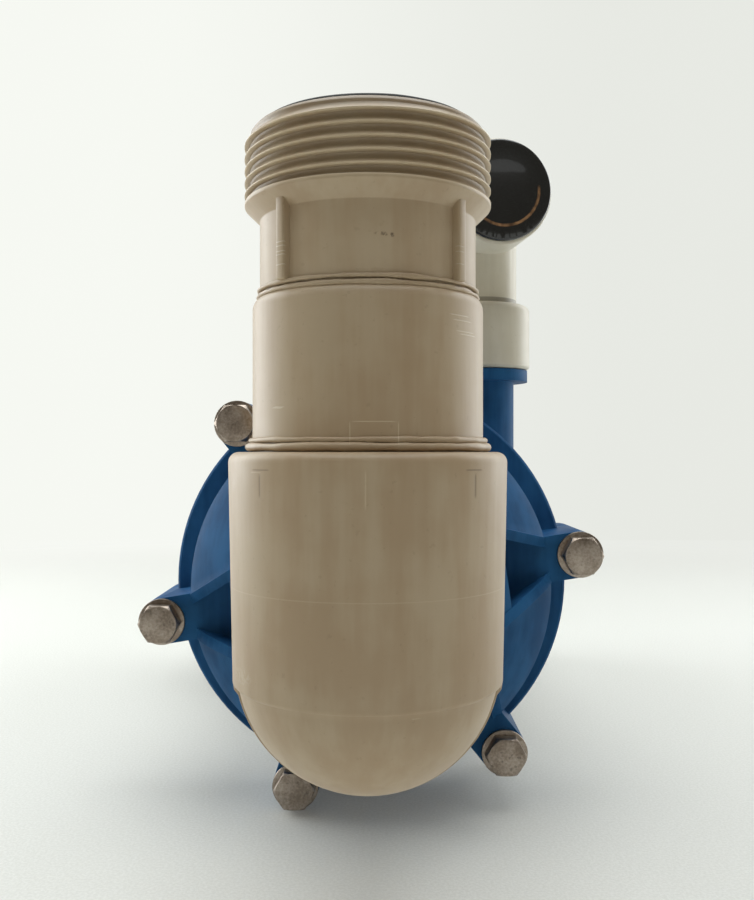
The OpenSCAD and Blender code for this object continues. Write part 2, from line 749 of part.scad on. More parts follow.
module impeller() {
    eye_out_r = eye_r + eye_ring_t;
    color(casing_blue) difference() {
        union() {
            turned() polygon([[eye_r, eye_front_s], [eye_out_r, eye_front_s], [eye_out_r, eye_back_s],
                              [impeller_r, outlet_front_s - shroud_t], [impeller_r, outlet_front_s],
                              [eye_r, eye_back_s + shroud_t]]);
            turned() polygon([[0, hub_front_s], [hub_r - 2 * edge, hub_front_s], [hub_r, outlet_back_s - shroud_t],
                              [hub_r + shroud_t, outlet_back_s], [impeller_r, outlet_back_s],
                              [impeller_r, outlet_back_s + shroud_t], [hub_r, outlet_back_s + shroud_t],
                              [hub_r, hub_back_s], [0, hub_back_s]]);
            intersection() {
                plate_at(eye_back_s, outlet_back_s - eye_back_s + edge)
                    for (k = [0:blade_count - 1])
                        rotate(k * 360 / blade_count) blade_outline();
                turned() polygon([[hub_r - 2 * edge, eye_back_s + shroud_t + edge],
                                  [eye_r + edge, eye_back_s + shroud_t + edge / 2],
                                  [impeller_r, outlet_front_s - edge], [impeller_r, outlet_back_s + edge],
                                  [hub_r - 2 * edge, outlet_back_s + edge]]);
            }
        }
        plate_at(hub_front_s - overrun, hub_back_s - hub_front_s + 2 * overrun) circle(shaft_r);
    }
}

module impeller_nut() {
    color(steel) difference() {
        union() {
            hex_head(hub_front_s, impeller_nut_h, impeller_nut_share * shaft_r);
            plate_at(hub_front_s - shaft_tip_r / 2, shaft_tip_r / 2) circle(shaft_r + edge);
        }
        plate_at(hub_front_s - impeller_nut_h - overrun, impeller_nut_h + 2 * overrun) circle(shaft_tip_r);
    }
}

module seal_seat() {
    color(fitting_white) turned() polygon([
        [shaft_r + edge, seat_front_s], [seal_ring_r, seat_front_s], [seal_ring_r, seat_front_s + edge],
        [seat_r, seat_front_s + edge], [seat_r, seat_front_s + seat_t], [shaft_r + edge, seat_front_s + seat_t]]);
}

module seal_ring() {
    color(dark_rubber) turned() polygon([
        [shaft_r + edge / 2, seal_ring_s], [seal_ring_r, seal_ring_s], [seal_ring_r, seal_ring_s + seal_ring_t / 2],
        [seal_ring_r - edge, seal_ring_s + seal_ring_t], [shaft_r + edge / 2, seal_ring_s + seal_ring_t]]);
}

module seal_bellows() {
    color(dark_rubber) turned() polygon([
        [shaft_r, hub_back_s], [seal_ring_r, hub_back_s], [seal_ring_r, hub_back_s + bellows_t],
        [shaft_r + bellows_t, hub_back_s + bellows_t], [shaft_r + bellows_t, seal_ring_s], [shaft_r, seal_ring_s]]);
}

// The spring: a round wire wound round the bellows, between its flange and the carbon ring.
module seal_spring() {
    turns = 2;
    ring_steps = 24;
    sides = 8;
    mid_r = shaft_r + bellows_t + spring_wire_r + edge / 4;
    s0 = hub_back_s + bellows_t + spring_wire_r + edge / 4;
    s1 = seal_ring_s - spring_wire_r - edge / 4;
    total = turns * ring_steps;
    points = [for (i = [0:total], j = [0:sides - 1]) let (
                  a = 360 * i / ring_steps,
                  b = 360 * j / sides,
                  r = mid_r + spring_wire_r * cos(b),
                  s = s0 + (s1 - s0) * i / total + spring_wire_r * sin(b)
              ) [r * cos(a), parting_y + s, axis_h + r * sin(a)]];
    sides_faces = [for (i = [0:total - 1], j = [0:sides - 1]) let (
                       p = i * sides + j,
                       q = i * sides + (j + 1) % sides
                   ) each [[p, q, p + sides], [q, q + sides, p + sides]]];
    ends = [[for (j = [0:sides - 1]) sides - 1 - j], [for (j = [0:sides - 1]) total * sides + j]];
    color(steel) polyhedron(points, concat(sides_faces, ends));
}

module shaft_slinger() {
    slinger_shares = [2, 2.4, 1.3];
    slinger_disc_t = 3;
    slinger_len = 6;
    slinger_s = (seal_boss_s + motor_face_s) / 2 - shaft_r;
    color(dark_rubber) turned() polygon([
        [shaft_r, slinger_s], [slinger_shares[0] * shaft_r, slinger_s],
        [slinger_shares[1] * shaft_r, slinger_s - edge], [slinger_shares[1] * shaft_r, slinger_s + edge],
        [slinger_shares[2] * shaft_r, slinger_s + slinger_disc_t],
        [slinger_shares[2] * shaft_r, slinger_s + slinger_len], [shaft_r, slinger_s + slinger_len]]);
}

/* Motor bracket */

module motor_bracket() {
    ring_s = motor_face_s - bracket_ring_t;
    neck_out_r = register_r + casing_wall + 2 * edge;
    window_w = bracket_window_share * bracket_screw_r;
    color(cast_alloy) difference() {
        union() {
            turned() polygon([
                [seal_boss_r + fit, bracket_plate_s], [bracket_plate_r + edge, bracket_plate_s],
                [neck_out_r, ring_s], [face_r - edge, ring_s], [face_r, ring_s + edge], [face_r, motor_face_s],
                [register_r + fit, motor_face_s], [register_r + fit, ring_s],
                [bracket_plate_r - casing_wall, bracket_plate_s + bracket_plate_t],
                [seal_boss_r + fit, bracket_plate_s + bracket_plate_t]]);
        }
        for (a = through_angles)
            translate([0, parting_y, axis_h])
                rotate([0, -a, 0])
                    translate([seal_boss_r + 2 * casing_wall, bracket_plate_s + bracket_plate_t + edge,
                               -window_w / 2])
                        cube([face_r, ring_s - bracket_plate_s - bracket_plate_t - 2 * edge, window_w]);
        plate_at(bracket_plate_s - overrun, bracket_plate_t + 2 * overrun)
            around(face_bolt_angles, bracket_screw_r) circle(bracket_screw_d / 2 + bolt_gap);
        plate_at(ring_s - overrun, bracket_ring_t + 2 * overrun)
            around(face_bolt_angles, face_bolt_circle_r) circle(bolt_d / 2 + bolt_gap);
    }
}

// Socket head screws, from behind the bracket's plate into the casing's bosses
module bracket_screws() {
    head_s = bracket_plate_s + bracket_plate_t;
    tip_s = volute_back_s + casing_wall / 2 + edge;
    color(steel) difference() {
        union() {
            plate_at(head_s, bracket_screw_d)
                around(face_bolt_angles, bracket_screw_r) circle(bracket_head_share * bracket_screw_d);
            plate_at(tip_s, head_s - tip_s)
                around(face_bolt_angles, bracket_screw_r) circle(bracket_screw_d / 2 - fit);
        }
        plate_at(head_s + bracket_screw_d / 2, bracket_screw_d)
            around(face_bolt_angles, bracket_screw_r) hexagon(bracket_head_share * bracket_screw_d);
    }
}

module motor_face_bolts() {
    head_s = motor_face_s - bracket_ring_t;
    color(steel) at_bolts(face_bolt_angles, face_bolt_circle_r) {
        hex_head(head_s, bolt_head_h, bolt_flats);
        plate_at(head_s - edge, bracket_ring_t + face_t) circle(bolt_d / 2);
    }
}

/* Shaft, rotor and bearings */

module motor_shaft() {
    tip_s = hub_front_s - impeller_nut_h - edge;
    collar_s = front_bearing_s + bearing_w;
    color(steel) turned() polygon([
        [0, tip_s], [shaft_tip_r - edge / 2, tip_s], [shaft_tip_r, tip_s + edge / 2],
        [shaft_tip_r, hub_front_s], [shaft_r, hub_front_s], [shaft_r, front_bearing_s - edge],
        [bearing_bore_r, front_bearing_s - edge], [bearing_bore_r, collar_s], [shaft_mid_r, collar_s],
        [shaft_mid_r, rear_bearing_s], [bearing_bore_r, rear_bearing_s],
        [bearing_bore_r, rear_bearing_s + bearing_w], [fan_shaft_r, rear_bearing_s + bearing_w],
        [fan_shaft_r, fan_s + fan_w + edge], [fan_shaft_r - edge, fan_s + fan_w + 2 * edge],
        [0, fan_s + fan_w + 2 * edge]]);
}

module rotor_core() {
    color(lamination) plate_at(core_s, core_len) difference() {
        ring(rotor_r, shaft_mid_r);
        around([for (k = [0:bar_count - 1]) k * 360 / bar_count], bar_circle_r) circle(bar_r);
    }
}

module rotor_cage() {
    color(cast_alloy) {
        for (s = [core_s - cage_ring_t, core_s + core_len])
            plate_at(s, cage_ring_t) ring(rotor_r - edge, bar_circle_r - 3 * bar_r);
        plate_at(core_s - edge, core_len + 2 * edge)
            around([for (k = [0:bar_count - 1]) k * 360 / bar_count], bar_circle_r) circle(bar_r);
    }
}

// A bearing ring between two radii with the balls' track cut into it
module bearing_ring(s, inner, outer) {
    turned() difference() {
        translate([inner, s]) square([outer - inner, bearing_w]);
        translate([track_r, s + bearing_w / 2]) circle(ball_r + ball_gap, $fn = 48);
    }
}

module bearing_inner_rings() {
    color(steel) for (s = [front_bearing_s, rear_bearing_s])
        bearing_ring(s, bearing_bore_r, track_r - land);
}

module bearing_outer_rings() {
    color(steel) for (s = [front_bearing_s, rear_bearing_s])
        bearing_ring(s, track_r + land, bearing_r);
}

module bearing_balls() {
    color(steel) for (s = [front_bearing_s, rear_bearing_s], k = [0:ball_count - 1])
        translate([track_r * cos(k * 360 / ball_count), parting_y + s + bearing_w / 2,
                   axis_h + track_r * sin(k * 360 / ball_count)])
            sphere(ball_r);
}

/* Motor shell and end bells */

module front_end_bell() {
    hub_end_s = front_bearing_s + bearing_w;
    neck_r_front = shell_r + 2 * edge;
    color(cast_alloy) difference() {
        turned() polygon([
            [shaft_r + 2 * edge, motor_face_s], [register_r - casing_wall, motor_face_s],
            [register_r - casing_wall, motor_face_s - register_len],
            [register_r - edge / 2, motor_face_s - register_len],
            [register_r, motor_face_s - 2 * edge], [register_r, motor_face_s], [face_r - edge, motor_face_s],
            [face_r, motor_face_s + edge], [face_r, motor_face_s + face_t],
            [neck_r_front, motor_face_s + face_t + edge], [shell_r, shell_front_s],
            [shell_bore_r - fit, shell_front_s], [shell_bore_r - fit, shell_front_s + spigot_len],
            [shell_bore_r - spigot_wall, shell_front_s + spigot_len],
            [shell_bore_r - spigot_wall, motor_face_s + face_t - edge],
            [bearing_hub_r, motor_face_s + face_t - edge], [bearing_hub_r, hub_end_s], [bearing_r, hub_end_s],
            [bearing_r, front_bearing_s], [shaft_r + 2 * edge, front_bearing_s - edge]]);
        plate_at(motor_face_s - overrun, face_t + bell_neck_len + spigot_len + 2 * overrun)
            around(through_angles, through_r) circle(through_d / 2 + bolt_gap);
        plate_at(motor_face_s - overrun, face_t + bell_neck_len)
            around(face_bolt_angles, face_bolt_circle_r) circle(bolt_d / 2 + fit);
    }
}

module rear_end_bell() {
    lug_count = 4;
    lug_w = 12;
    color(cast_alloy) difference() {
        union() {
            turned() polygon([
                [bearing_r, rear_bearing_s], [bearing_hub_r, rear_bearing_s],
                [bearing_hub_r, shell_back_s + edge], [shell_bore_r - spigot_wall, shell_back_s + edge],
                [shell_bore_r - spigot_wall, shell_back_s - spigot_len],
                [shell_bore_r - fit, shell_back_s - spigot_len], [shell_bore_r - fit, shell_back_s],
                [shell_r, shell_back_s], [shell_r, rear_bell_back_s - 2 * edge],
                [shell_r - 2 * edge, rear_bell_back_s], [bearing_hub_r, rear_bell_back_s],
                [bearing_hub_r - edge, rear_bearing_s + bearing_w + 2 * edge],
                [track_r, rear_bearing_s + bearing_w + 2 * edge], [track_r, rear_bearing_s + bearing_w],
                [bearing_r, rear_bearing_s + bearing_w]]);
            plate_at(cowl_s, rear_bell_back_s - cowl_s - edge) intersection() {
                ring(cowl_r - cowl_wall - fit, shell_r - casing_wall);
                around(face_bolt_angles, shell_r - casing_wall)
                    translate([0, -lug_w / 2]) square([4 * casing_wall, lug_w]);
            }
        }
        plate_at(shell_back_s - spigot_len - overrun, spigot_len + rear_bell_t + 2 * overrun)
            around(through_angles, through_r) circle(through_d / 2 + bolt_gap);
        at_cowl_screws(cowl_screw_d / 2 + fit, 2 * cowl_screw_d, cowl_r - 2 * cowl_screw_d);
    }
}

module motor_housing() {
    lead_hole_r = 8;
    color(motor_grey) difference() {
        plate_at(shell_front_s, shell_len) ring(shell_r, shell_bore_r);
        translate([-shell_r - overrun, parting_y + box_s + box_len / 2, axis_h + box_drop])
            rotate([0, 90, 0]) cylinder(h = shell_wall * 4, r = lead_hole_r);
    }
}

module slot_bar(grow) {
    translate([slot_in_r - grow, -slot_width / 2 - grow])
        square([slot_out_r - slot_in_r + 2 * grow, slot_width + 2 * grow]);
}

module stator_core() {
    mouth_w = slot_width / 3;
    color(lamination) plate_at(core_s, core_len) difference() {
        ring(shell_bore_r - fit, rotor_r + air_gap);
        around(stator_angles, 0) {
            slot_bar(fit);
            translate([rotor_r, -mouth_w / 2]) square([slot_in_r - rotor_r + edge, mouth_w]);
        }
        around(through_angles, through_r) circle(through_d / 2 + bolt_gap);
    }
}

module stator_windings() {
    end_turn_len = 9;
    color(copper) {
        plate_at(core_s - fit - edge, core_len + 2 * fit + 2 * edge) around(stator_angles, 0) slot_bar(0);
        for (s = [core_s - fit - end_turn_len, core_s + core_len + fit])
            plate_at(s, end_turn_len) ring(slot_out_r, slot_in_r);
    }
}

module through_bolts() {
    front_s = motor_face_s + face_t / 2;
    color(steel) {
        plate_at(front_s, rear_bell_back_s - front_s + edge)
            around(through_angles, through_r) circle(through_d / 2);
        at_bolts(through_angles, through_r)
            hex_head(rear_bell_back_s + through_d, through_d, through_head_share * through_d);
    }
}

/* Fan and cover */

module cooling_fan() {
    plate_t = 2.5;
    blade_w = 2.2;
    blade_overhang = 6;
    color(dark_rubber) difference() {
        union() {
            plate_at(fan_s, plate_t) circle(fan_r - blade_overhang);
            plate_at(fan_s, fan_w) circle(fan_hub_r);
            plate_at(fan_s, fan_w)
                for (k = [0:fan_blade_count - 1])
                    rotate(k * 360 / fan_blade_count)
                        translate([fan_hub_r - edge, -blade_w / 2]) square([fan_r - fan_hub_r + edge, blade_w]);
        }
        plate_at(fan_s - overrun, fan_w + 2 * overrun) circle(fan_shaft_r);
    }
}

module fan_cover() {
    shoulder = 6;
    spoke_count = 8;
    spoke_w = 4;
    first_ring_r = 12;
    gap_shares = [0.2, 0.8];
    ring_step = (cowl_r - shoulder - first_ring_r) / grille_rings;
    color(motor_grey) difference() {
        turned() polygon([
            [cowl_r - cowl_wall, cowl_s], [cowl_r, cowl_s], [cowl_r, cowl_end_s - shoulder],
            [cowl_r - shoulder, cowl_end_s], [0, cowl_end_s], [0, cowl_end_s - cowl_wall],
            [cowl_r - shoulder - cowl_wall / 2, cowl_end_s - cowl_wall],
            [cowl_r - cowl_wall, cowl_end_s - shoulder - cowl_wall / 2]]);
        plate_at(cowl_end_s - cowl_wall - overrun, cowl_wall + 2 * overrun) difference() {
            for (k = [0:grille_rings - 1])
                ring(first_ring_r + (k + gap_shares[1]) * ring_step,
                     first_ring_r + (k + gap_shares[0]) * ring_step);
            for (k = [0:spoke_count - 1])
                rotate(k * 360 / spoke_count) translate([0, -spoke_w / 2]) square([cowl_r, spoke_w]);
        }
        at_cowl_screws(cowl_screw_d / 2 + fit, 4 * cowl_wall, cowl_r - 2 * cowl_wall);
    }
}

// A short radial cylinder at each of the fan cover's screws
module at_cowl_screws(r, len, from_r) {
    for (a = face_bolt_angles)
        translate([0, parting_y + (cowl_s + rear_bell_back_s) / 2, axis_h])
            rotate([0, -a, 0])
                translate([from_r, 0, 0])
                    rotate([0, 90, 0]) cylinder(h = len, r = r);
}

module fan_cover_screws() {
    color(steel) {
        at_cowl_screws(pan_head_share * cowl_screw_d, cowl_screw_d / 2, cowl_r);
        at_cowl_screws(cowl_screw_d / 2, 1.5 * cowl_screw_d, cowl_r - 1.5 * cowl_screw_d);
    }
}

/* Foot */

module motor_foot() {
    cradle_inset = 6;
    cradle_top_w = 104;
    cradle_base_w = 128;
    color(motor_grey) difference() {
        union() {
            translate([-foot_w / 2, -foot_len / 2, 0]) cube([foot_w, foot_len, foot_t]);
            for (y = [-foot_len / 2 + cradle_inset,
                      min(foot_len / 2 - cradle_inset, parting_y + shell_back_s) - foot_t])
                translate([0, y + foot_t, 0])
                    rotate([90, 0, 0])
                        linear_extrude(foot_t)
                            polygon([[-cradle_base_w / 2, foot_t / 2], [cradle_base_w / 2, foot_t / 2],
                                     [cradle_top_w / 2, cradle_h], [-cradle_top_w / 2, cradle_h]]);
        }
        plate_at(shell_front_s, shell_len) circle(shell_r);
        for (x = [-1, 1], y = [-1, 1])
            translate([x * slots_across / 2, y * slots_along / 2, -overrun])
                linear_extrude(foot_t + 2 * overrun) {
                    for (end = [-1, 1])
                        translate([end * (slot_len - slot_w) / 2, 0]) circle(d = slot_w);
                    square([slot_len - slot_w, slot_w], center = true);
                }
    }
}

/* Terminal box on the motor's left side */

// A block of the terminal box between two distances left of the shaft
module box_block(near, far, inset) {
    translate([-far, parting_y + box_s + inset, axis_h + box_drop - box_h / 2 + inset])
        cube([far - near, box_len - 2 * inset, box_h - 2 * inset]);
}

module lid_screw_holes(near, far, r) {
    for (p = lid_screw_places)
        translate([-far, p[0], p[1]])
            rotate([0, 90, 0]) cylinder(h = far - near, r = r);
}

module terminal_box() {
    inner_x = shell_r * box_root_share;
    color(motor_grey) difference() {
        union() {
            difference() {
                box_block(inner_x, box_reach, 0);
                box_block(inner_x - overrun, box_reach + overrun, box_wall);
            }
            intersection() {
                box_block(inner_x, box_reach, 0);
                lid_screw_holes(inner_x, box_reach, lid_screw_inset - box_wall / 4);
            }
        }
        plate_at(box_s - overrun, box_len + 2 * overrun) circle(shell_r);
        lid_screw_holes(box_reach - 2 * lid_screw_d, box_reach + overrun, lid_screw_d / 2);
        gland_axis(box_s + box_len - 2 * box_wall, 3 * box_wall) circle(gland_thread_r + fit);
    }
}

module lid_gasket() {
    color(dark_rubber) difference() {
        box_block(box_reach, box_reach + gasket_t, edge / 2);
        box_block(box_reach - overrun, box_reach + gasket_t + overrun, lid_lip_share * lid_screw_inset);
        lid_screw_holes(box_reach - overrun, box_reach + gasket_t + overrun, lid_screw_d / 2 + fit);
    }
}

module terminal_lid() {
    near = box_reach + gasket_t;
    color(motor_grey) difference() {
        union() {
            box_block(near, near + lid_t, 0);
            box_block(near, near + lid_t + edge, lid_lip_share * lid_screw_inset);
        }
        lid_screw_holes(near - overrun, near + lid_t + overrun, lid_screw_d / 2 + fit);
    }
}

module lid_screws() {
    top = box_reach + gasket_t + lid_t;
    color(steel) difference() {
        union() {
            lid_screw_holes(top, top + lid_screw_d / 2, pan_head_share * lid_screw_d);
            lid_screw_holes(box_reach - lid_screw_d, top, lid_screw_d / 2 - fit);
        }
        for (p = lid_screw_places)
            translate([-top - lid_screw_d / 2 - overrun, p[0] - lid_screw_d / 8, p[1] - lid_screw_d])
                cube([overrun + lid_screw_d / 5, lid_screw_d / 4, 2 * lid_screw_d]);
    }
}

// A plate square to the gland's axis, which runs rearwards out of the box
module gland_axis(s, t) {
    translate([-gland_x, 0, box_drop])
        plate_at(s, t) children();
}

module cable_gland() {
    wall_s = box_s + box_len;
    color(dark_rubber) difference() {
        union() {
            gland_axis(wall_s - box_wall, box_wall) circle(gland_thread_r);
            gland_axis(wall_s, gland_body_len) hexagon(gland_flats);
            gland_axis(wall_s + gland_body_len, gland_nut_len - 2 * edge) circle(gland_thread_r);
        }
        gland_axis(wall_s - box_wall - overrun, gland_body_len + gland_nut_len + box_wall + 2 * overrun)
            circle(gland_bore_r);
    }
}

module gland_nut() {
    nut_s = box_s + box_len + gland_body_len;
    dome_r = gland_thread_r + gland_dome_wall;
    color(dark_rubber) difference() {
        translate([-gland_x, 0, box_drop])
            union() {
                plate_at(nut_s, gland_nut_len / 2) hexagon(gland_flats);
                turned() polygon(concat(
                    [[0, nut_s], [dome_r, nut_s], [dome_r, nut_s + gland_nut_len / 2]],
                    arc(dome_r - gland_nut_len / 2, nut_s + gland_nut_len / 2, gland_nut_len / 2, 0, 90),
                    [[0, nut_s + gland_nut_len]]));
            }
        gland_axis(nut_s - overrun, gland_nut_len - 2 * edge + overrun) circle(gland_thread_r + fit);
        gland_axis(nut_s, gland_nut_len + overrun) circle(gland_bore_r);
    }
}

/* Suction fittings */

module suction_adapter() {
    body_back_s = collar_front_s - edge / 2;
    body_front_s = nozzle_tip_s - casing_wall;
    end_s = -riser_forward + elbow_leg - socket_depth + edge;
    rib_count = 8;
    rib_w = 6;
    rib_proud = 2;
    color(fitting_beige) difference() {
        union() {
            turned() polygon([
                [0, end_s], [pipe_r - edge, end_s], [pipe_r, end_s + edge], [pipe_r, body_front_s],
                [adapter_r - edge, body_front_s], [adapter_r, body_front_s + edge],
                [adapter_r, body_back_s - edge], [adapter_r - edge, body_back_s], [0, body_back_s]]);
            plate_at(body_front_s + edge, body_back_s - body_front_s - 2 * edge)
                for (k = [0:rib_count - 1])
                    rotate(k * 360 / rib_count)
                        translate([adapter_r - edge, -rib_w / 2]) square([edge + rib_proud, rib_w]);
            melt_bead_turned(-riser_forward + elbow_leg + bead_r, pipe_r);
        }
        plate_at(end_s - overrun, body_back_s - end_s + 2 * overrun) circle(suction_r);
        plate_at(nozzle_tip_s - edge / 2, body_back_s - nozzle_tip_s + overrun) circle(nozzle_thread_r + fit);
    }
}

// Melt beads: two rolled lips of plastic side by side round a fused joint
module bead_outline(mid_r, h) {
    for (k = [0, 1])
        translate([mid_r + k * bead_r / 4, h - k * bead_pitch_share * bead_r]) circle(bead_r, $fn = 24);
}

module melt_bead_turned(s, r) {
    turned() for (k = [0, 1])
        translate([r + bead_r / 2 - k * bead_r / 2, s + k * bead_pitch_share * bead_r]) circle(bead_r, $fn = 24);
}

// One socket of the elbow, standing up from the elbow's centre
module elbow_socket() {
    rotate_extrude()
        polygon(concat([[0, -socket_over], [socket_root_r - edge, -socket_over], [socket_root_r, edge - socket_over]],
                       arc(socket_r - rim_round_r, elbow_leg - rim_round_r, rim_round_r, 0, 90),
                       [[0, elbow_leg]]));
}

// The upright half of the elbow, cut off on the mitre plane between its two legs
module elbow_half() {
    reach = 2 * elbow_leg;
    difference() {
        union() {
            elbow_socket();
            sphere(bend_r);
        }
        translate([0, 0, elbow_leg - socket_depth]) cylinder(h = socket_depth + overrun, r = pipe_r + fit);
        cylinder(h = elbow_leg, r = suction_r);
        sphere(suction_r + edge / 2);
        rotate([-45, 0, 0])
            translate([-reach, 0, -reach]) cube([2 * reach, 2 * reach, 2 * reach]);
    }
}

module suction_elbow() {
    color(fitting_beige) translate([0, riser_y, axis_h]) {
        elbow_half();
        mirror([0, 1, -1]) elbow_half();
    }
}

module coupling_sleeve() {
    z0 = rim_z - socket_depth + edge / 2;
    color(fitting_beige) translate([0, riser_y, 0]) difference() {
        union() {
            rotate_extrude() polygon(concat(
                [[0, z0], [pipe_r - edge, z0], [pipe_r, z0 + edge]],
                arc(pipe_r - shoulder_r, sleeve_top_z - shoulder_r, shoulder_r, 0, shoulder_sweep),
                [[neck_r - edge / 2, sleeve_top_z], [neck_r - edge / 2, union_z], [0, union_z]]));
            rotate_extrude() {
                bead_outline(pipe_r + bead_r / 2, rim_z + bead_top_share * bead_r);
                bead_outline(neck_r, sleeve_top_z + bead_r / 3);
            }
        }
        translate([0, 0, z0 - overrun]) cylinder(h = union_z - z0 + 2 * overrun, r = suction_r);
    }
}

module union_profile() {
    turns = [for (k = [0:thread_turns - 1]) let (z = thread_z + (k + thread_start_share) * thread_pitch) each [
                 [thread_r - thread_depth, z], [thread_r, z + thread_shares[0] * thread_pitch],
                 [thread_r, z + thread_shares[1] * thread_pitch],
                 [thread_r - thread_depth, z + thread_shares[2] * thread_pitch]]];
    rotate_extrude() polygon(concat(
        [[0, union_z], [neck_r, union_z], [neck_r, union_z + neck_h], [thread_r, thread_z],
         [thread_r, thread_z + rim_start_share * thread_pitch]],
        turns,
        [[thread_r - thread_depth, union_top_z - edge], [thread_r - thread_depth - edge, union_top_z],
         [0, union_top_z]]));
}

module union_end() {
    color(fitting_beige) translate([0, riser_y, 0]) difference() {
        union() {
            union_profile();
            for (k = [0:neck_rib_count - 1])
                rotate(neck_rib_phase + k * 360 / neck_rib_count)
                    translate([0, -neck_rib_t / 2, union_z])
                        cube([neck_r + 2 * edge, neck_rib_t, neck_h + neck_cone_h]);
        }
        translate([0, 0, union_z - overrun])
            cylinder(h = union_top_z - union_z + 2 * overrun, r = suction_r);
        translate([0, 0, union_top_z - groove_w / 2])
            rotate_extrude() translate([groove_mid_r - groove_w / 2, 0]) square([groove_w, groove_w]);
    }
}

module union_o_ring() {
    ring_r = groove_w / 2 - fit;
    color(dark_rubber) translate([0, riser_y, union_top_z - groove_w / 2 + ring_r])
        rotate_extrude() translate([groove_mid_r, 0]) circle(ring_r, $fn = 24);
}

/* Discharge fittings */

module discharge_adapter() {
    round_r = 3;
    lead = 1.2;
    color(fitting_white) translate([discharge_x, discharge_y, 0]) difference() {
        rotate_extrude() polygon(concat(
            [[0, adapter_z], [discharge_adapter_r - lead, adapter_z], [discharge_adapter_r, adapter_z + lead]],
            arc(discharge_adapter_r - round_r, adapter_top_z - round_r, round_r, 0, 90),
            [[0, adapter_top_z]]));
        translate([0, 0, adapter_z - overrun])
            cylinder(h = discharge_adapter_h + 2 * overrun, r = discharge_bore_r);
        translate([0, 0, adapter_z - overrun])
            cylinder(h = discharge_thread_len + overrun + edge / 2, r = discharge_thread_r + fit);
        translate([0, 0, adapter_top_z - street_depth])
            cylinder(h = street_depth + overrun, r = spigot_r + fit);
    }
}

// The street elbow's frame: its centre, with +Y turned to the outlet
module at_street_outlet() {
    translate([discharge_x, discharge_y, street_z])
        rotate([0, 0, street_turn])
            rotate([90, 0, 0]) children();
}

module discharge_elbow() {
    z0 = adapter_top_z - street_depth + edge / 2;
    lead = 1.2;
    barrel_r = street_bend_r - lead / 4;
    passage_r = discharge_bore_r + lead / 2;
    socket_z = street_leg - street_socket_len;
    color(fitting_white) difference() {
        union() {
            translate([discharge_x, discharge_y, z0]) cylinder(h = street_z - z0, r = spigot_r);
            translate([discharge_x, discharge_y, street_z]) {
                sphere(street_bend_r);
                translate([0, 0, -street_bend_r])
                    cylinder(h = street_bend_r - 2 * lead, r1 = spigot_r, r2 = barrel_r - lead / 2);
            }
            at_street_outlet() rotate_extrude() polygon(concat(
                [[0, 0], [barrel_r, 0], [barrel_r, socket_z - 2 * lead], [street_socket_r, socket_z + lead]],
                arc(street_socket_r - lead, street_leg - lead, lead, 0, 90),
                [[0, street_leg]]));
        }
        translate([discharge_x, discharge_y, z0 - overrun])
            cylinder(h = street_z - z0 + overrun, r = discharge_bore_r);
        translate([discharge_x, discharge_y, street_z]) sphere(passage_r + lead / 2);
        at_street_outlet() {
            cylinder(h = street_leg, r = passage_r);
            translate([0, 0, street_leg - cap_plug_len - 4 * lead])
                cylinder(h = cap_plug_len + 5 * lead, r = street_bore_r);
        }
    }
}

module outlet_cap() {
    dome = 0.8;
    dome_shares = [0.8, 0.4];
    plug_wall = 2;
    z0 = street_leg + cap_gap;
    plug_r = street_bore_r - cap_gap;
    color(cap_black) at_street_outlet() difference() {
        rotate_extrude() polygon(concat(
            [[0, z0 - cap_plug_len], [plug_r - edge, z0 - cap_plug_len], [plug_r, z0 - cap_plug_len + edge],
             [plug_r, z0], [cap_r, z0]],
            arc(cap_r - cap_t / 2, z0 + cap_t / 2, cap_t / 2, 0, 90),
            [[cap_r * dome_shares[0], z0 + cap_t + dome / 2], [cap_r * dome_shares[1], z0 + cap_t + dome],
             [0, z0 + cap_t + dome]]));
        translate([0, 0, z0 - cap_plug_len - overrun]) cylinder(h = cap_plug_len + overrun, r = plug_r - plug_wall);
    }
}

suction_cover();
volute_casing();
casing_o_ring();
casing_bolts();
casing_washers();
casing_nuts();
impeller();
impeller_nut();
seal_seat();
seal_ring();
seal_bellows();
seal_spring();
shaft_slinger();
motor_bracket();
bracket_screws();
motor_face_bolts();
motor_shaft();
rotor_core();
rotor_cage();
bearing_inner_rings();
bearing_balls();
bearing_outer_rings();
front_end_bell();
rear_end_bell();
motor_housing();
stator_core();
stator_windings();
through_bolts();
cooling_fan();
fan_cover();
fan_cover_screws();
motor_foot();
terminal_box();
terminal_lid();
lid_gasket();
lid_screws();
cable_gland();
gland_nut();
suction_adapter();
suction_elbow();
coupling_sleeve();
union_end();
union_o_ring();
discharge_adapter();
discharge_elbow();
outlet_cap();
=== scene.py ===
"""Looks of a close-coupled drainage pump: moulded casing, fused suction fittings, capped discharge elbow
and a foot-mounted motor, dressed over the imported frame."""

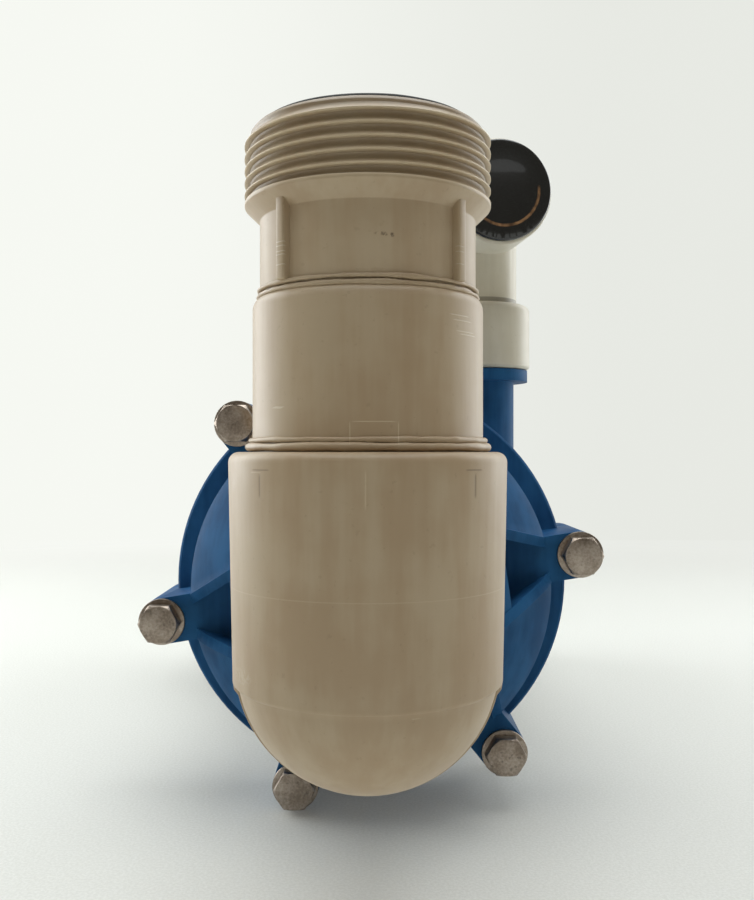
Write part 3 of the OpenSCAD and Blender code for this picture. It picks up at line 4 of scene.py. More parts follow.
import bpy
import json
import math
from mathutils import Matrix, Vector

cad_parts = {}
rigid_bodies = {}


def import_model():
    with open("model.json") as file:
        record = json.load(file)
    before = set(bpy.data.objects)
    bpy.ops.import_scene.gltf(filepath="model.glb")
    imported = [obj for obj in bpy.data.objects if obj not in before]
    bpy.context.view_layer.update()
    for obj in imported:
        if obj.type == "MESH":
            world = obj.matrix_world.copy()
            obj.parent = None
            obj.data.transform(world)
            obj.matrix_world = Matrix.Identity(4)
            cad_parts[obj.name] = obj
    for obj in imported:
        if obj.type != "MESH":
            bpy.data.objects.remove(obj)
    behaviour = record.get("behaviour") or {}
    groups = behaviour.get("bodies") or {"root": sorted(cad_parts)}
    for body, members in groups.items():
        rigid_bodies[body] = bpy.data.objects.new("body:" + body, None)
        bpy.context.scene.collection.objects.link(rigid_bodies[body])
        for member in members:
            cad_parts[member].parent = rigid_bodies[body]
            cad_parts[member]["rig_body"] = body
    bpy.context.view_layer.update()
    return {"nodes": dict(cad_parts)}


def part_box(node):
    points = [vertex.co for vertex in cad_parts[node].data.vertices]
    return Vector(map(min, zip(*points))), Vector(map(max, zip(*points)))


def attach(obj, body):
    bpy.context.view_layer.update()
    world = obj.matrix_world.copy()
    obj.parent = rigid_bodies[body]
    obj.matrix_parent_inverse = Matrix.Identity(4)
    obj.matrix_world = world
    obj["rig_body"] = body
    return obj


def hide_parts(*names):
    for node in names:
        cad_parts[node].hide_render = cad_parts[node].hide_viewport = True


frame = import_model()

MM = 0.001
elbow_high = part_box("suction_elbow")[1]
sleeve_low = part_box("coupling_sleeve")[0]
union_low, union_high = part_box("union_end")
shaft_low, shaft_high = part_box("motor_shaft")
adapter_low, adapter_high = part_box("discharge_adapter")
adapter_middle = (adapter_low + adapter_high) / 2
cap_low, cap_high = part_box("outlet_cap")

# The riser: the upright run of the suction fittings, from the shaft's height to the union's rim
SHAFT_Z = (shaft_low.z + shaft_high.z) / 2
RISER_Y = (union_low.y + union_high.y) / 2
ELBOW_R = elbow_high.x
RIM_Z = elbow_high.z
UNION_Z = union_low.z
UNION_TOP_Z = UNION_Z + 41.46 * MM
SLEEVE_TOP_Z = UNION_Z - 1.6 * MM
PIPE_R = 30.15 * MM
NECK_R = 28.25 * MM
PASSAGE_R = 25 * MM

# The ribs on the union's neck: the radius of their fronts, and the degrees where they stand about the riser
RIB_FRONT_R = NECK_R + 2 * MM
RIB_ANGLES = (225.5, 320.5, 93)

# The groove for the ring in the union's rim
GROOVE_IN_R = 26.3 * MM
GROOVE_OUT_R = 28.4 * MM

# The union's thread
THREAD_Z = UNION_Z + 21.8 * MM
THREAD_END_Z = UNION_TOP_Z - 2.2 * MM
THREAD_PITCH = 3.175 * MM
THREAD_R = union_high.x
THREAD_ROOT_R = 30.7 * MM
# The tooth's outline from its foot upwards: shares of its depth, and of the pitch
TOOTH_SHARES = [(0.0, 0.1), (0.1, 0.19), (0.82, 0.25), (1.0, 0.29), (1.0, 0.37), (0.86, 0.42), (0.56, 0.54),
                (0.26, 0.7), (0.08, 0.86), (0.0, 1.0)]

# The rims where the elbow's two sockets end, and the radius of the bend that they stand out from
SOCKET_END_R = 35.3 * MM
SOCKET_END_Z = SHAFT_Z - 5 * MM
SOCKET_END_Y = RISER_Y - 5 * MM
BEND_R = 34.3 * MM

# Vertices nearer than this are one, and faces within these angles of each other are one flat face
MERGE_GAP = 0.002 * MM
FLAT_DEGREES = 0.4
EASED_FLAT_DEGREES = 0.02


# Handling of objects

def put_down():
    """Leaves edit mode and lets go of every object."""
    if bpy.context.object is not None and bpy.context.object.mode != "OBJECT":
        bpy.ops.object.mode_set(mode="OBJECT")
    bpy.ops.object.select_all(action="DESELECT")


def pick_up(*pieces):
    """Selects these pieces alone. The first is the active one."""
    put_down()
    for piece in pieces:
        piece.select_set(True)
    bpy.context.view_layer.objects.active = pieces[0]


def edit_all(piece):
    """Enters edit mode on a piece with all of it selected."""
    pick_up(piece)
    bpy.ops.object.mode_set(mode="EDIT")
    bpy.ops.mesh.select_mode(type="VERT")
    bpy.ops.mesh.select_all(action="SELECT")


def select_where(piece, kind, chosen):
    """Selects the active piece's vertices or edges by a test, and ends in edit mode."""
    bpy.ops.object.mode_set(mode="EDIT")
    bpy.ops.mesh.select_mode(type={"vertices": "VERT", "edges": "EDGE"}[kind])
    bpy.ops.mesh.select_all(action="DESELECT")
    bpy.ops.object.mode_set(mode="OBJECT")
    for part in getattr(piece.data, kind):
        part.select = chosen(part)
    bpy.ops.object.mode_set(mode="EDIT")


def settle(piece):
    """Moves a piece's place, turn and scale into its mesh."""
    pick_up(piece)
    bpy.ops.object.transform_apply(location=True, rotation=True, scale=True)


def apply_modifier(piece, kind, **settings):
    """Gives a piece a modifier with these settings, and applies it."""
    pick_up(piece)
    modifier = piece.modifiers.new(kind.lower(), kind)
    for name, value in settings.items():
        setattr(modifier, name, value)
    bpy.ops.object.modifier_apply(modifier=modifier.name)
    return piece


def close_up(piece):
    """Merges doubled vertices and turns the faces outwards."""
    edit_all(piece)
    bpy.ops.mesh.remove_doubles(threshold=MERGE_GAP)
    bpy.ops.mesh.normals_make_consistent(inside=False)
    put_down()
    return piece


def smooth(piece, degrees=32):
    """Shades a piece smooth, with edges sharper than an angle kept crisp."""
    pick_up(piece)
    bpy.ops.object.shade_smooth_by_angle(angle=math.radians(degrees))
    return piece


def round_edges(piece, radius, degrees=32, segments=2):
    """Rounds the edges that are sharper than an angle."""
    return apply_modifier(piece, "BEVEL", width=radius, segments=segments, limit_method="ANGLE",
                          angle_limit=math.radians(degrees), use_clamp_overlap=True)


def join(name, *pieces):
    """Makes one piece of several, under a name."""
    pick_up(*pieces)
    bpy.ops.object.join()
    whole = bpy.context.object
    whole.name = name
    whole.data.name = name
    return whole


# Shader sums and finishes

class Signal:
    """An output of a node. Sums written on it become Math nodes."""

    def __init__(self, nodes, socket):
        self.nodes = nodes
        self.socket = socket

    def __add__(self, other):
        return self.nodes.math("ADD", self, other)

    def __radd__(self, other):
        return self.nodes.math("ADD", other, self)

    def __sub__(self, other):
        return self.nodes.math("SUBTRACT", self, other)

    def __rsub__(self, other):
        return self.nodes.math("SUBTRACT", other, self)

    def __mul__(self, other):
        return self.nodes.math("MULTIPLY", self, other)

    def __rmul__(self, other):
        return self.nodes.math("MULTIPLY", other, self)


class Nodes:
    """The nodes of a finish, or of the air in the studio."""

    def __init__(self, tree):
        self.tree = tree

    def node(self, kind, settings=None, inputs=None, out=0):
        """Adds a node: its settings first, then the values or links of its sockets. Gives one output."""
        made = self.tree.nodes.new(kind)
        for name, value in (settings or {}).items():
            setattr(made, name, value)
        for name, value in (inputs or {}).items():
            if isinstance(value, Signal):
                self.tree.links.new(value.socket, made.inputs[name])
            else:
                made.inputs[name].default_value = value
        return Signal(self, made.outputs[out])

    def math(self, operation, *parts, clamp=False):
        settings = {"operation": operation, "use_clamp": clamp}
        return self.node("ShaderNodeMath", settings, dict(enumerate(parts)))

    def surface(self, output, signal):
        """Sends a shader to the tree's output node."""
        self.tree.links.new(signal.socket, self.tree.nodes[output].inputs["Surface"])


class Finish(Nodes):
    """A surface finish on the object's own coordinates, in metres. A noise's scale is waves to a metre."""

    def __init__(self, name, **fixed):
        self.material = bpy.data.materials.new(name)
        self.material.use_nodes = True
        super().__init__(self.material.node_tree)
        self.shader = self.tree.nodes["Principled BSDF"]
        for socket, value in fixed.items():
            self.shader.inputs[socket.replace("_", " ")].default_value = value
        self.place = self.node("ShaderNodeTexCoord", out="Object")

    def spread(self, signal, low, high):
        """The signal as a smooth share from 0 at low to 1 at high."""
        return self.node("ShaderNodeMapRange", {"interpolation_type": "SMOOTHSTEP"},
                         {"Value": signal, "From Min": low, "From Max": high})

    def blend(self, share, first, second):
        """A colour between two colours."""
        return self.node("ShaderNodeMix", {"data_type": "RGBA"}, {0: share, 6: first, 7: second}, out=2)

    def moved(self, centre=(0, 0, 0), scale=(1, 1, 1), turn=(0, 0, 0)):
        """Object coordinates about a point, stretched by a scale."""
        shifted = self.node("ShaderNodeVectorMath", {"operation": "SUBTRACT"}, {0: self.place, 1: centre})
        return self.node("ShaderNodeMapping", None, {"Vector": shifted, "Rotation": turn, "Scale": scale})

    def noise(self, scale, detail=3.0, roughness=0.55, place=None):
        return self.node("ShaderNodeTexNoise", None, {
            "Vector": place or self.place, "Scale": scale, "Detail": detail, "Roughness": roughness})

    def axis(self, name, place=None):
        return self.node("ShaderNodeSeparateXYZ", None, {0: place or self.place}, out=name)

    def away(self, place, first, second):
        """The distance from one axis of a place, given the names of the two others."""
        across, along = self.axis(first, place), self.axis(second, place)
        return self.math("SQRT", across * across + along * along)

    def edges(self, radius):
        """A mask of worn edges: where the surface rounded over a radius leans away from the true one."""
        rounded = self.node("ShaderNodeBevel", {"samples": 4}, {"Radius": radius})
        true = self.node("ShaderNodeNewGeometry", out="Normal")
        match = self.node("ShaderNodeVectorMath", {"operation": "DOT_PRODUCT"}, {0: rounded, 1: true},
                          out="Value")
        return self.spread(1 - match, 0.01, 0.16)

    def mark(self, centre, size, turn):
        """A scuff or stain of a given place and size, broken up by grain."""
        spot = self.moved(centre, tuple(1 / s for s in size), turn)
        reach = self.node("ShaderNodeVectorMath", {"operation": "LENGTH"}, {0: spot}, out="Value")
        inside = 1 - self.spread(reach, 0.5, 1.0)
        return inside * self.spread(self.noise(900), 0.45, 0.6)

    def line(self, centre, size, turn):
        """A plain scribed or moulded line, or a band of painted shade: a small box with soft ends."""
        spot = self.moved(centre, tuple(1 / s for s in size), turn)
        shares = [1 - self.spread(self.math("ABSOLUTE", self.axis(name, spot)), 0.6, 1.0) for name in "XYZ"]
        return shares[0] * shares[1] * shares[2]

    def colour(self, signal):
        self.tree.links.new(signal.socket, self.shader.inputs["Base Color"])

    def roughness(self, signal):
        self.tree.links.new(signal.socket, self.shader.inputs["Roughness"])

    def relief(self, height, distance, strength):
        """Bump from a height of 0 to 1 that stands for a distance in metres."""
        bump = self.node("ShaderNodeBump", None, {
            "Height": height, "Distance": distance, "Strength": strength})
        self.tree.links.new(bump.socket, self.shader.inputs["Normal"])


def paint(red, green, blue):
    """A colour given as screen values from 0 to 255, as linear light."""
    parts = [c / 255 for c in (red, green, blue)]
    return tuple(c / 12.92 if c <= 0.04045 else ((c + 0.055) / 1.055) ** 2.4 for c in parts) + (1.0,)


def thread_wear_highlight_and_shade(finish, colour, dark):
    """Pale crests, partly rubbed wear and partly a painted highlight, and darker roots that are painted shade
    in the grooves, on the union's thread.
    """
    away = finish.away(finish.moved((0, RISER_Y, 0)), "X", "Y")
    high = finish.spread(finish.axis("Z"), THREAD_Z, THREAD_Z + 1 * MM)
    # Crests painted paler: partly rubbed wear, partly a painted highlight. Roots painted darker: painted
    # shade in the thread's grooves.
    crest_wear_and_highlight = finish.spread(away, THREAD_R - 0.5 * MM, THREAD_R - 0.1 * MM) * high
    root = (1 - finish.spread(away, THREAD_ROOT_R, THREAD_ROOT_R + 0.9 * MM)) * high
    colour = finish.blend(crest_wear_and_highlight * 0.55, colour, paint(214, 198, 168))
    return finish.blend(root * 0.5, colour, dark)


def moulded(name, body, pale, dark, roughness, edge_wear_and_highlight_share, marks=(), scribes_and_shade_bands=(), threaded=False, **fixed):
    """A moulded plastic: mottled colour, faint flow streaks, pale edges that are partly rubbed wear and
    partly a painted highlight, fine grain, stated scuffs.
    """
    finish = Finish(name, **fixed)
    cloud = finish.noise(38, 3)
    flow = finish.noise(16, 3, 0.6, finish.moved(scale=(9, 9, 1)))
    speck = finish.spread(finish.noise(620, 2), 0.66, 0.74)
    tone = finish.spread(cloud * 0.55 + flow * 0.45, 0.38, 0.64)
    colour = finish.blend(tone, body, pale)
    colour = finish.blend(speck * 0.12, colour, dark)
    # Pale edges: partly rubbed wear, partly a painted highlight along the edges.
    rubbed_and_highlit_edges = finish.edges(0.8 * MM) * finish.spread(finish.noise(260, 3), 0.3, 0.62)
    colour = finish.blend(rubbed_and_highlit_edges * edge_wear_and_highlight_share, colour, pale)
    height = finish.noise(1500, 2) * 0.35 + finish.noise(210, 3) * 0.65
    rough = cloud * 0.12 + finish.noise(300, 3) * 0.1 + (roughness - 0.11) + rubbed_and_highlit_edges * 0.08
    if threaded:
        # The thread's crests get a painted highlight and its roots get painted shade.
        colour = thread_wear_highlight_and_shade(finish, colour, dark)
    for centre, size, turn, tint, share, sink in marks:
        stain = finish.mark(centre, size, turn)
        colour = finish.blend(stain * share, colour, tint)
        height = height + stain * sink
        rough = rough + stain * 0.12
    # Scribed lines, and bands of painted shade.
    for centre, size, turn, tint, share, sink in scribes_and_shade_bands:
        scribe_or_shade_band = finish.line(centre, size, turn)
        colour = finish.blend(scribe_or_shade_band * share, colour, tint)
        height = height + scribe_or_shade_band * sink
    finish.colour(colour)
    finish.roughness(rough)
    finish.relief(height, 0.05 * MM, 0.6)
    return finish


def metal(name, bright, dull, roughness, brushed=(1, 1, 1), dents=0.3, grime=0.25, metallic=1.0):
    """A bare metal: uneven tone, drawn or turned grain, small dents and grime in patches away from the edges.
    """
    finish = Finish(name, Metallic=metallic)
    grain = finish.noise(900, 4, 0.6, finish.moved(scale=brushed))
    patch = finish.noise(120, 3)
    tone = finish.spread(patch * 0.6 + grain * 0.4, 0.36, 0.66)
    worn = finish.edges(0.5 * MM)
    colour = finish.blend(tone, dull, bright)
    colour = finish.blend(worn * 0.35, colour, bright)
    dirt = finish.spread(finish.noise(480, 3), 0.58, 0.72) * (1 - worn)
    colour = finish.blend(dirt * grime, colour, paint(52, 46, 38))
    finish.colour(colour)
    finish.roughness(grain * 0.16 + patch * 0.12 + (roughness - 0.12) + dirt * 0.2)
    finish.relief(grain * 0.35 + finish.noise(330, 2) * dents, 0.06 * MM, 0.7)
    return finish


# Marks on the fittings. Each row: place, size, turn, tint, its share, and how far it rises or sinks

BEIGE = paint(174, 151, 121)
BEIGE_PALE = paint(186, 167, 139)
BEIGE_DARK = paint(108, 90, 66)
PALE_LINE = paint(206, 190, 160)
DARK_LINE = paint(116, 97, 72)
SCUFF = paint(96, 78, 58)
LEVEL = (0, 0, 0)


def mm(*sizes):
    """Sizes given in millimetres, in metres."""
    return tuple(size * MM for size in sizes)


def riser_place(x, front, z):
    """A point given in millimetres: right and to the front of the riser's axis, and up from the floor."""
    return (x * MM, RISER_Y - front * MM, z * MM)


def riser_front(x, z, radius):
    """The point on the front of a round body of the riser, given in millimetres: to the right, and up."""
    return (x * MM, RISER_Y - math.sqrt(radius ** 2 - (x * MM) ** 2), z * MM)


ELBOW_MARKS = [
    (riser_place(-8.5, 34, 67.5), mm(4.5, 6, 1.1), (0, -0.5, 0), BEIGE_DARK, 0.5, -0.3),
    (riser_place(-3.5, 34, 67), mm(4, 6, 1), (0, 0.7, 0), BEIGE_DARK, 0.55, -0.2),
    (riser_place(8.5, 35, 76), mm(0.9, 5, 0.8), LEVEL, BEIGE_DARK, 0.6, -0.2),
    (riser_place(-31, 17, 88), mm(5, 8, 3), LEVEL, paint(205, 196, 176), 0.35, 0.2),
]
ELBOW_SCRIBES = [
    (riser_front(-0.2, 134.5, ELBOW_R), mm(0.22, 2, 5), LEVEL, PALE_LINE, 0.6, 1.2),
    (riser_front(-25.4, 135.1, ELBOW_R), mm(0.26, 3, 3.2), LEVEL, DARK_LINE, 0.45, -1.0),
    (riser_front(-25.2, 138.9, ELBOW_R), mm(2.6, 3, 0.2), LEVEL, DARK_LINE, 0.5, -1.0),
    (riser_front(-26.4, 138.3, ELBOW_R), mm(1.6, 3, 0.16), LEVEL, PALE_LINE, 0.4, 0.6),
    (riser_front(25.7, 135.1, ELBOW_R), mm(0.3, 3, 3.4), LEVEL, DARK_LINE, 0.55, -1.0),
    (riser_front(25.4, 138.9, ELBOW_R), mm(2.5, 3, 0.26), LEVEL, DARK_LINE, 0.55, -1.0),
    (riser_place(0, 18, 108.9), mm(46, 32, 0.16), LEVEL, PALE_LINE, 0.3, 0.4),
    (riser_front(11.5, 81.6, ELBOW_R), mm(1.3, 4, 0.14), (0, 0.1, 0), PALE_LINE, 0.6, -0.6),
]
SLEEVE_SCRIBES = [
    (riser_front(22.6 + k * 0.8, z, PIPE_R), mm(3, 4, 0.16), (0, 0.1, 0), paint(214, 204, 182), 0.6, -0.9)
    for k, z in enumerate((176.4, 175.2, 172.6, 171.9))
] + [
    (riser_front(-21.5, 154, PIPE_R), mm(1.6, 4, 0.3), (0, -0.4, 0), paint(220, 210, 188), 0.5, -0.8),
    (riser_front(1.75, 150.3, PIPE_R), mm(5.9, 4, 0.15), LEVEL, PALE_LINE, 0.75, 1.0),
    (riser_front(-3.9, 147.6, PIPE_R), mm(0.15, 4, 3), LEVEL, PALE_LINE, 0.75, 1.0),
    (riser_front(7.4, 147.6, PIPE_R), mm(0.15, 4, 3), LEVEL, PALE_LINE, 0.75, 1.0),
]
UNION_MARKS = [
    (riser_place(3.6, NECK_R / MM, 194.4), mm(2.2, 3, 0.7), (0, 0.12, 0), SCUFF, 0.7, -0.5),
    (riser_place(6, NECK_R / MM, 194.2), mm(0.7, 3, 0.7), (0, 0.8, 0), paint(86, 68, 50), 0.8, -0.5),
    (riser_place(-10, NECK_R / MM, 191), mm(0.6, 5, 0.6), LEVEL, SCUFF, 0.6, -0.3),
]
UNION_SCRIBES = [
    (riser_front(-20.9, z, RIB_FRONT_R), mm(1.5, 3, 0.14), (0, 0.15, 0), paint(216, 206, 184), 0.6, -0.8)
    for z in (193.9, 192.9, 191.6, 190.8, 188.4)
] + [
    (riser_front(22.6, z, RIB_FRONT_R), mm(1.3, 3, 0.14), (0, -0.1, 0), paint(206, 196, 172), 0.5, -0.6)
    for z in (193.2, 191.9, 188.9)
]
# A dark band round the white pipe just above the adapter: painted shadow in the gap between pipe and adapter,
# over a small sunk relief.
ADAPTER_GAP_PAINTED_SHADE = [
    ((adapter_middle.x, adapter_middle.y, adapter_high.z + 1.6 * MM), mm(24, 24, 1.1), LEVEL,
     paint(96, 90, 74), 0.6, -1.0),
]

elbow_beige = moulded("fused_beige_elbow", BEIGE, BEIGE_PALE, BEIGE_DARK, 0.42, 0.12,
                      ELBOW_MARKS, ELBOW_SCRIBES)
sleeve_beige = moulded("fused_beige_sleeve", BEIGE, BEIGE_PALE, BEIGE_DARK, 0.42, 0.5, (), SLEEVE_SCRIBES)
union_beige = moulded("fused_beige_union", BEIGE, BEIGE_PALE, BEIGE_DARK, 0.42, 0.55,
                      UNION_MARKS, UNION_SCRIBES, threaded=True)
adapter_beige = moulded("fused_beige_adapter", BEIGE, BEIGE_PALE, BEIGE_DARK, 0.42, 0.5)
outlet_white = moulded("off_white_fitting", paint(206, 199, 180), paint(216, 210, 193), paint(150, 142, 122),
                       0.36, 0.4, (), ADAPTER_GAP_PAINTED_SHADE)
# Most of the blue casing's strong pale edging is a painted highlight.
casing_blue = moulded("moulded_blue_casing", paint(28, 73, 116), paint(41, 92, 138), paint(12, 34, 60),
                      0.5, 0.8, Specular_IOR_Level=0.07)


# The remaining finishes

def cap_gloss():
    """Glossy black with a plain copper arc, 1 mm wide, round the lower half of the disc, and a painted
    highlight along its edges.
    """
    finish = Finish("glossy_black_cap", Coat_Weight=0.6, Coat_Roughness=0.04)
    outlet_turn = math.radians(8)
    face = finish.moved(((cap_low + cap_high) / 2)[:], turn=(0, 0, -outlet_turn))
    away = finish.away(face, "X", "Z")
    ring = finish.spread(away, 14.2 * MM, 14.6 * MM) * (1 - finish.spread(away, 15.2 * MM, 15.8 * MM))
    lower = 1 - finish.spread(finish.axis("Z", face), -0.5 * MM, 2.5 * MM)
    blotch = finish.spread(finish.noise(170, 3), 0.35, 0.62)
    copper = finish.blend(blotch, paint(120, 84, 52), paint(170, 128, 88))
    colour = finish.blend(finish.noise(60, 3), paint(9, 10, 9), paint(17, 19, 17))
    colour = finish.blend(ring * lower * (0.45 + 0.55 * blotch), colour, copper)
    scratch = finish.spread(finish.noise(700, 3, 0.6, finish.moved(scale=(1, 1, 12))), 0.6, 0.72)
    # Paler edges: a painted highlight on the glossy rim.
    colour = finish.blend(finish.edges(0.6 * MM) * 0.5, colour, paint(70, 70, 66))
    finish.colour(colour)
    finish.roughness(0.14 + finish.noise(90, 3) * 0.12 + scratch * 0.14)
    finish.relief(finish.noise(240, 3) + scratch * 0.2, 0.03 * MM, 0.5)
    return finish


def rubber(name, tone):
    """Black rubber with a pale bloom of dust."""
    finish = Finish(name)
    cloud = finish.noise(90, 3)
    colour = finish.blend(cloud, paint(tone, tone, tone - 2), paint(tone + 16, tone + 15, tone + 13))
    dust = finish.spread(finish.noise(380, 4), 0.6, 0.74)
    finish.colour(finish.blend(dust * 0.3, colour, paint(98, 94, 86)))
    finish.roughness(0.62 + cloud * 0.16)
    finish.relief(finish.noise(1100, 2) * 0.5 + finish.noise(180, 3) * 0.5, 0.05 * MM, 0.6)
    return finish


def painted(name, body, pale, roughness):
    """Sprayed paint on steel: orange peel, chipped edges that show bright metal, and dust."""
    finish = Finish(name)
    peel = finish.noise(420, 2)
    cloud = finish.noise(22, 3)
    chipped = finish.edges(0.9 * MM) * finish.spread(finish.noise(330, 4), 0.56, 0.64)
    dust = finish.spread(finish.noise(70, 5), 0.5, 0.75)
    colour = finish.blend(cloud, body, pale)
    colour = finish.blend(dust * 0.18, colour, paint(120, 118, 112))
    colour = finish.blend(chipped * 0.85, colour, paint(146, 144, 140))
    finish.colour(colour)
    finish.roughness(cloud * 0.1 + dust * 0.15 + (roughness - 0.08))
    finish.relief(peel * 0.5 + finish.noise(1400, 2) * 0.2 - chipped * 0.6, 0.06 * MM, 0.6)
    return finish


def laminated():
    """Sheets of dark steel, 0.5 mm thick, stacked along the shaft and varnished."""
    finish = Finish("stacked_laminations", Metallic=0.7)
    half_sheet = 0.25
    stack = finish.math("PINGPONG", finish.axis("Y") * 1000, half_sheet) * (1 / half_sheet)
    patch = finish.noise(90, 3)
    finish.colour(finish.blend(stack * 0.6 + patch * 0.4, paint(70, 68, 66), paint(128, 126, 124)))
    finish.roughness(0.38 + patch * 0.18)
    finish.relief(stack, 0.06 * MM, 0.7)
    return finish


def wound_copper():
    """Enamelled wire in tight bundles along the shaft, with varnish pooled between the turns."""
    finish = Finish("varnished_copper", Metallic=0.85)
    strands = finish.noise(1400, 3, 0.5, finish.moved(scale=(1, 0.12, 1)))
    patch = finish.noise(120, 3)
    finish.colour(finish.blend(strands * 0.6 + patch * 0.4, paint(120, 58, 26), paint(206, 124, 66)))
    finish.roughness(0.26 + strands * 0.2)
    finish.relief(strands, 0.15 * MM, 0.8)
    return finish


def dense(name, body, pale, roughness):
    """A ground hard ring with a fine even grain."""
    finish = Finish(name)
    grain = finish.noise(1800, 2)
    patch = finish.noise(150, 3)
    finish.colour(finish.blend(patch * 0.7 + grain * 0.3, body, pale))
    finish.roughness(grain * 0.1 + patch * 0.08 + (roughness - 0.06))
    finish.relief(grain, 0.02 * MM, 0.6)
    return finish


cap_black = cap_gloss()
stainless = metal("stainless_fixings", paint(182, 170, 158), paint(132, 119, 107), 0.34,
                  dents=0.9, grime=0.35)
bearing_steel = metal("ground_bearing_steel", paint(206, 206, 204), paint(160, 160, 160), 0.22,
                      brushed=(1, 6, 1), dents=0.15, grime=0.12)
cast_alloy = metal("cast_alloy", paint(176, 177, 178), paint(136, 137, 138), 0.5,
                   dents=1.3, grime=0.3, metallic=0.9)
black_rubber = rubber("black_rubber", 20)
black_plastic = moulded("black_moulded_plastic", paint(30, 31, 32), paint(48, 49, 50), paint(14, 14, 15),
                        0.44, 0.5)
motor_paint = painted("dark_motor_paint", paint(38, 41, 46), paint(50, 54, 60), 0.42)
laminations = laminated()
copper = wound_copper()
ceramic = dense("seal_ceramic", paint(222, 218, 206), paint(234, 231, 222), 0.24)
carbon = dense("seal_carbon", paint(30, 30, 31), paint(50, 50, 52), 0.36)


# Dressing of the frame's own solids. Each row: node, its finish, its material slot, and the rounding of its
# edges in millimetres, which is 0 where the frame's own solid is kept as it is

DRESSING = [
    ("suction_cover", casing_blue, "casing_blue", 0.5),
    ("volute_casing", casing_blue, "casing_blue", 0.5),
    ("casing_o_ring", black_rubber, "black_rubber", 0),
    ("casing_bolts", stainless, "stainless_steel", 0.35),
    ("casing_washers", stainless, "stainless_steel", 0.3),
    ("casing_nuts", stainless, "stainless_steel", 0.35),
    ("impeller", casing_blue, "casing_blue", 0.3),
    ("impeller_nut", stainless, "stainless_steel", 0.3),
    ("seal_seat", ceramic, "seal_ceramic", 0.2),
    ("seal_ring", carbon, "seal_carbon", 0.2),
    ("seal_bellows", black_rubber, "black_rubber", 0.2),
    ("seal_spring", stainless, "stainless_steel", 0),
    ("shaft_slinger", black_rubber, "black_rubber", 0.2),
    ("motor_bracket", cast_alloy, "cast_alloy", 0.6),
    ("bracket_screws", stainless, "stainless_steel", 0.25),
    ("motor_face_bolts", stainless, "stainless_steel", 0.35),
    ("motor_shaft", bearing_steel, "bearing_steel", 0.3),
    ("rotor_core", laminations, "core_laminations", 0),
    ("rotor_cage", cast_alloy, "cast_alloy", 0),
    ("bearing_inner_rings", bearing_steel, "bearing_steel", 0.3),
    ("bearing_balls", bearing_steel, "bearing_steel", 0),
    ("bearing_outer_rings", bearing_steel, "bearing_steel", 0.3),
    ("front_end_bell", cast_alloy, "cast_alloy", 0.5),
    ("rear_end_bell", cast_alloy, "cast_alloy", 0.5),
    ("motor_housing", motor_paint, "motor_paint", 0.3),
    ("stator_core", laminations, "core_laminations", 0),
    ("stator_windings", copper, "copper_winding", 0),
    ("through_bolts", stainless, "stainless_steel", 0.25),
    ("cooling_fan", black_plastic, "black_plastic", 0.3),
    ("fan_cover", motor_paint, "motor_paint", 0.3),
    ("fan_cover_screws", stainless, "stainless_steel", 0.25),
    ("motor_foot", motor_paint, "motor_paint", 0.5),
    ("terminal_box", motor_paint, "motor_paint", 0.5),
    ("terminal_lid", motor_paint, "motor_paint", 0.4),
    ("lid_gasket", black_rubber, "black_rubber", 0),
    ("lid_screws", stainless, "stainless_steel", 0.2),
    ("cable_gland", black_plastic, "black_plastic", 0.4),
    ("gland_nut", black_plastic, "black_plastic", 0.4),
    ("suction_adapter", adapter_beige, "fitting_beige", 0.4),
    ("suction_elbow", elbow_beige, "fitting_beige", 0.9),
    ("discharge_adapter", outlet_white, "fitting_white", 0.4),
    ("discharge_elbow", outlet_white, "fitting_white", 0.4),
    ("outlet_cap", cap_black, "cap_black", 0.3),
]


def cover(piece, finish, slot, body, *nodes):
    """Gives a finished piece its finish and body, and hides the solids that it stands for. Its slot is not
    used.
    """
    piece.data.materials.clear()
    piece.data.materials.append(finish.material)
    for polygon in piece.data.polygons:
        polygon.material_index = 0
    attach(piece, body)
    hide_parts(*nodes)


def ease_elbow_steps(piece):
    """Draws in the rims where the elbow's sockets end, so that their steps die out in front and below."""
    reach_along, reach_across = 0.3 * MM, 0.25 * MM

    def on_end(vertex_place, end_place, away):
        return abs(vertex_place - end_place) < reach_along and abs(away - SOCKET_END_R) < reach_across

    def on_upright_end(vertex):
        x, y, z = vertex.co
        return on_end(z, SOCKET_END_Z, math.hypot(x, y - RISER_Y)) and y < RISER_Y - 1 * MM

    def on_lying_end(vertex):
        x, y, z = vertex.co
        return on_end(y, SOCKET_END_Y, math.hypot(x, z - SHAFT_Z)) and z < SOCKET_END_Z - 2 * MM

    # The drawn rims stay 0.1 mm outside the bend
    share = BEND_R / SOCKET_END_R + 0.003
    pick_up(piece)
    select_where(piece, "vertices", on_upright_end)
    bpy.ops.transform.resize(value=(1, share, 1), center_override=(0, RISER_Y, SOCKET_END_Z))
    select_where(piece, "vertices", on_lying_end)
    bpy.ops.transform.resize(value=(share, 1, share), center_override=(0, SOCKET_END_Y, SHAFT_Z))
    put_down()


def rounded_copy(node, radius):
    """A copy of a solid with its doubles merged, flat faces made whole and sharp edges rounded."""
    piece = bpy.data.objects.new(node + "_worked", frame["nodes"][node].data.copy())
    bpy.context.scene.collection.objects.link(piece)
    pick_up(piece)
    bpy.ops.mesh.customdata_custom_splitnormals_clear()
    edit_all(piece)
    bpy.ops.mesh.remove_doubles(threshold=MERGE_GAP)
    put_down()
    flat_degrees = FLAT_DEGREES
    if node == "suction_elbow":
        ease_elbow_steps(piece)
        flat_degrees = EASED_FLAT_DEGREES
    edit_all(piece)
    bpy.ops.mesh.dissolve_limited(angle_limit=math.radians(flat_degrees))
    put_down()
    round_edges(piece, radius * MM)
    return smooth(piece)


for node, finish, slot, radius in DRESSING:
    if radius:
        cover(rounded_copy(node, radius), finish, slot, frame["nodes"][node]["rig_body"], node)
    else:
        for holder in frame["nodes"][node].material_slots:
            holder.material = finish.material


# Pieces made for the scene

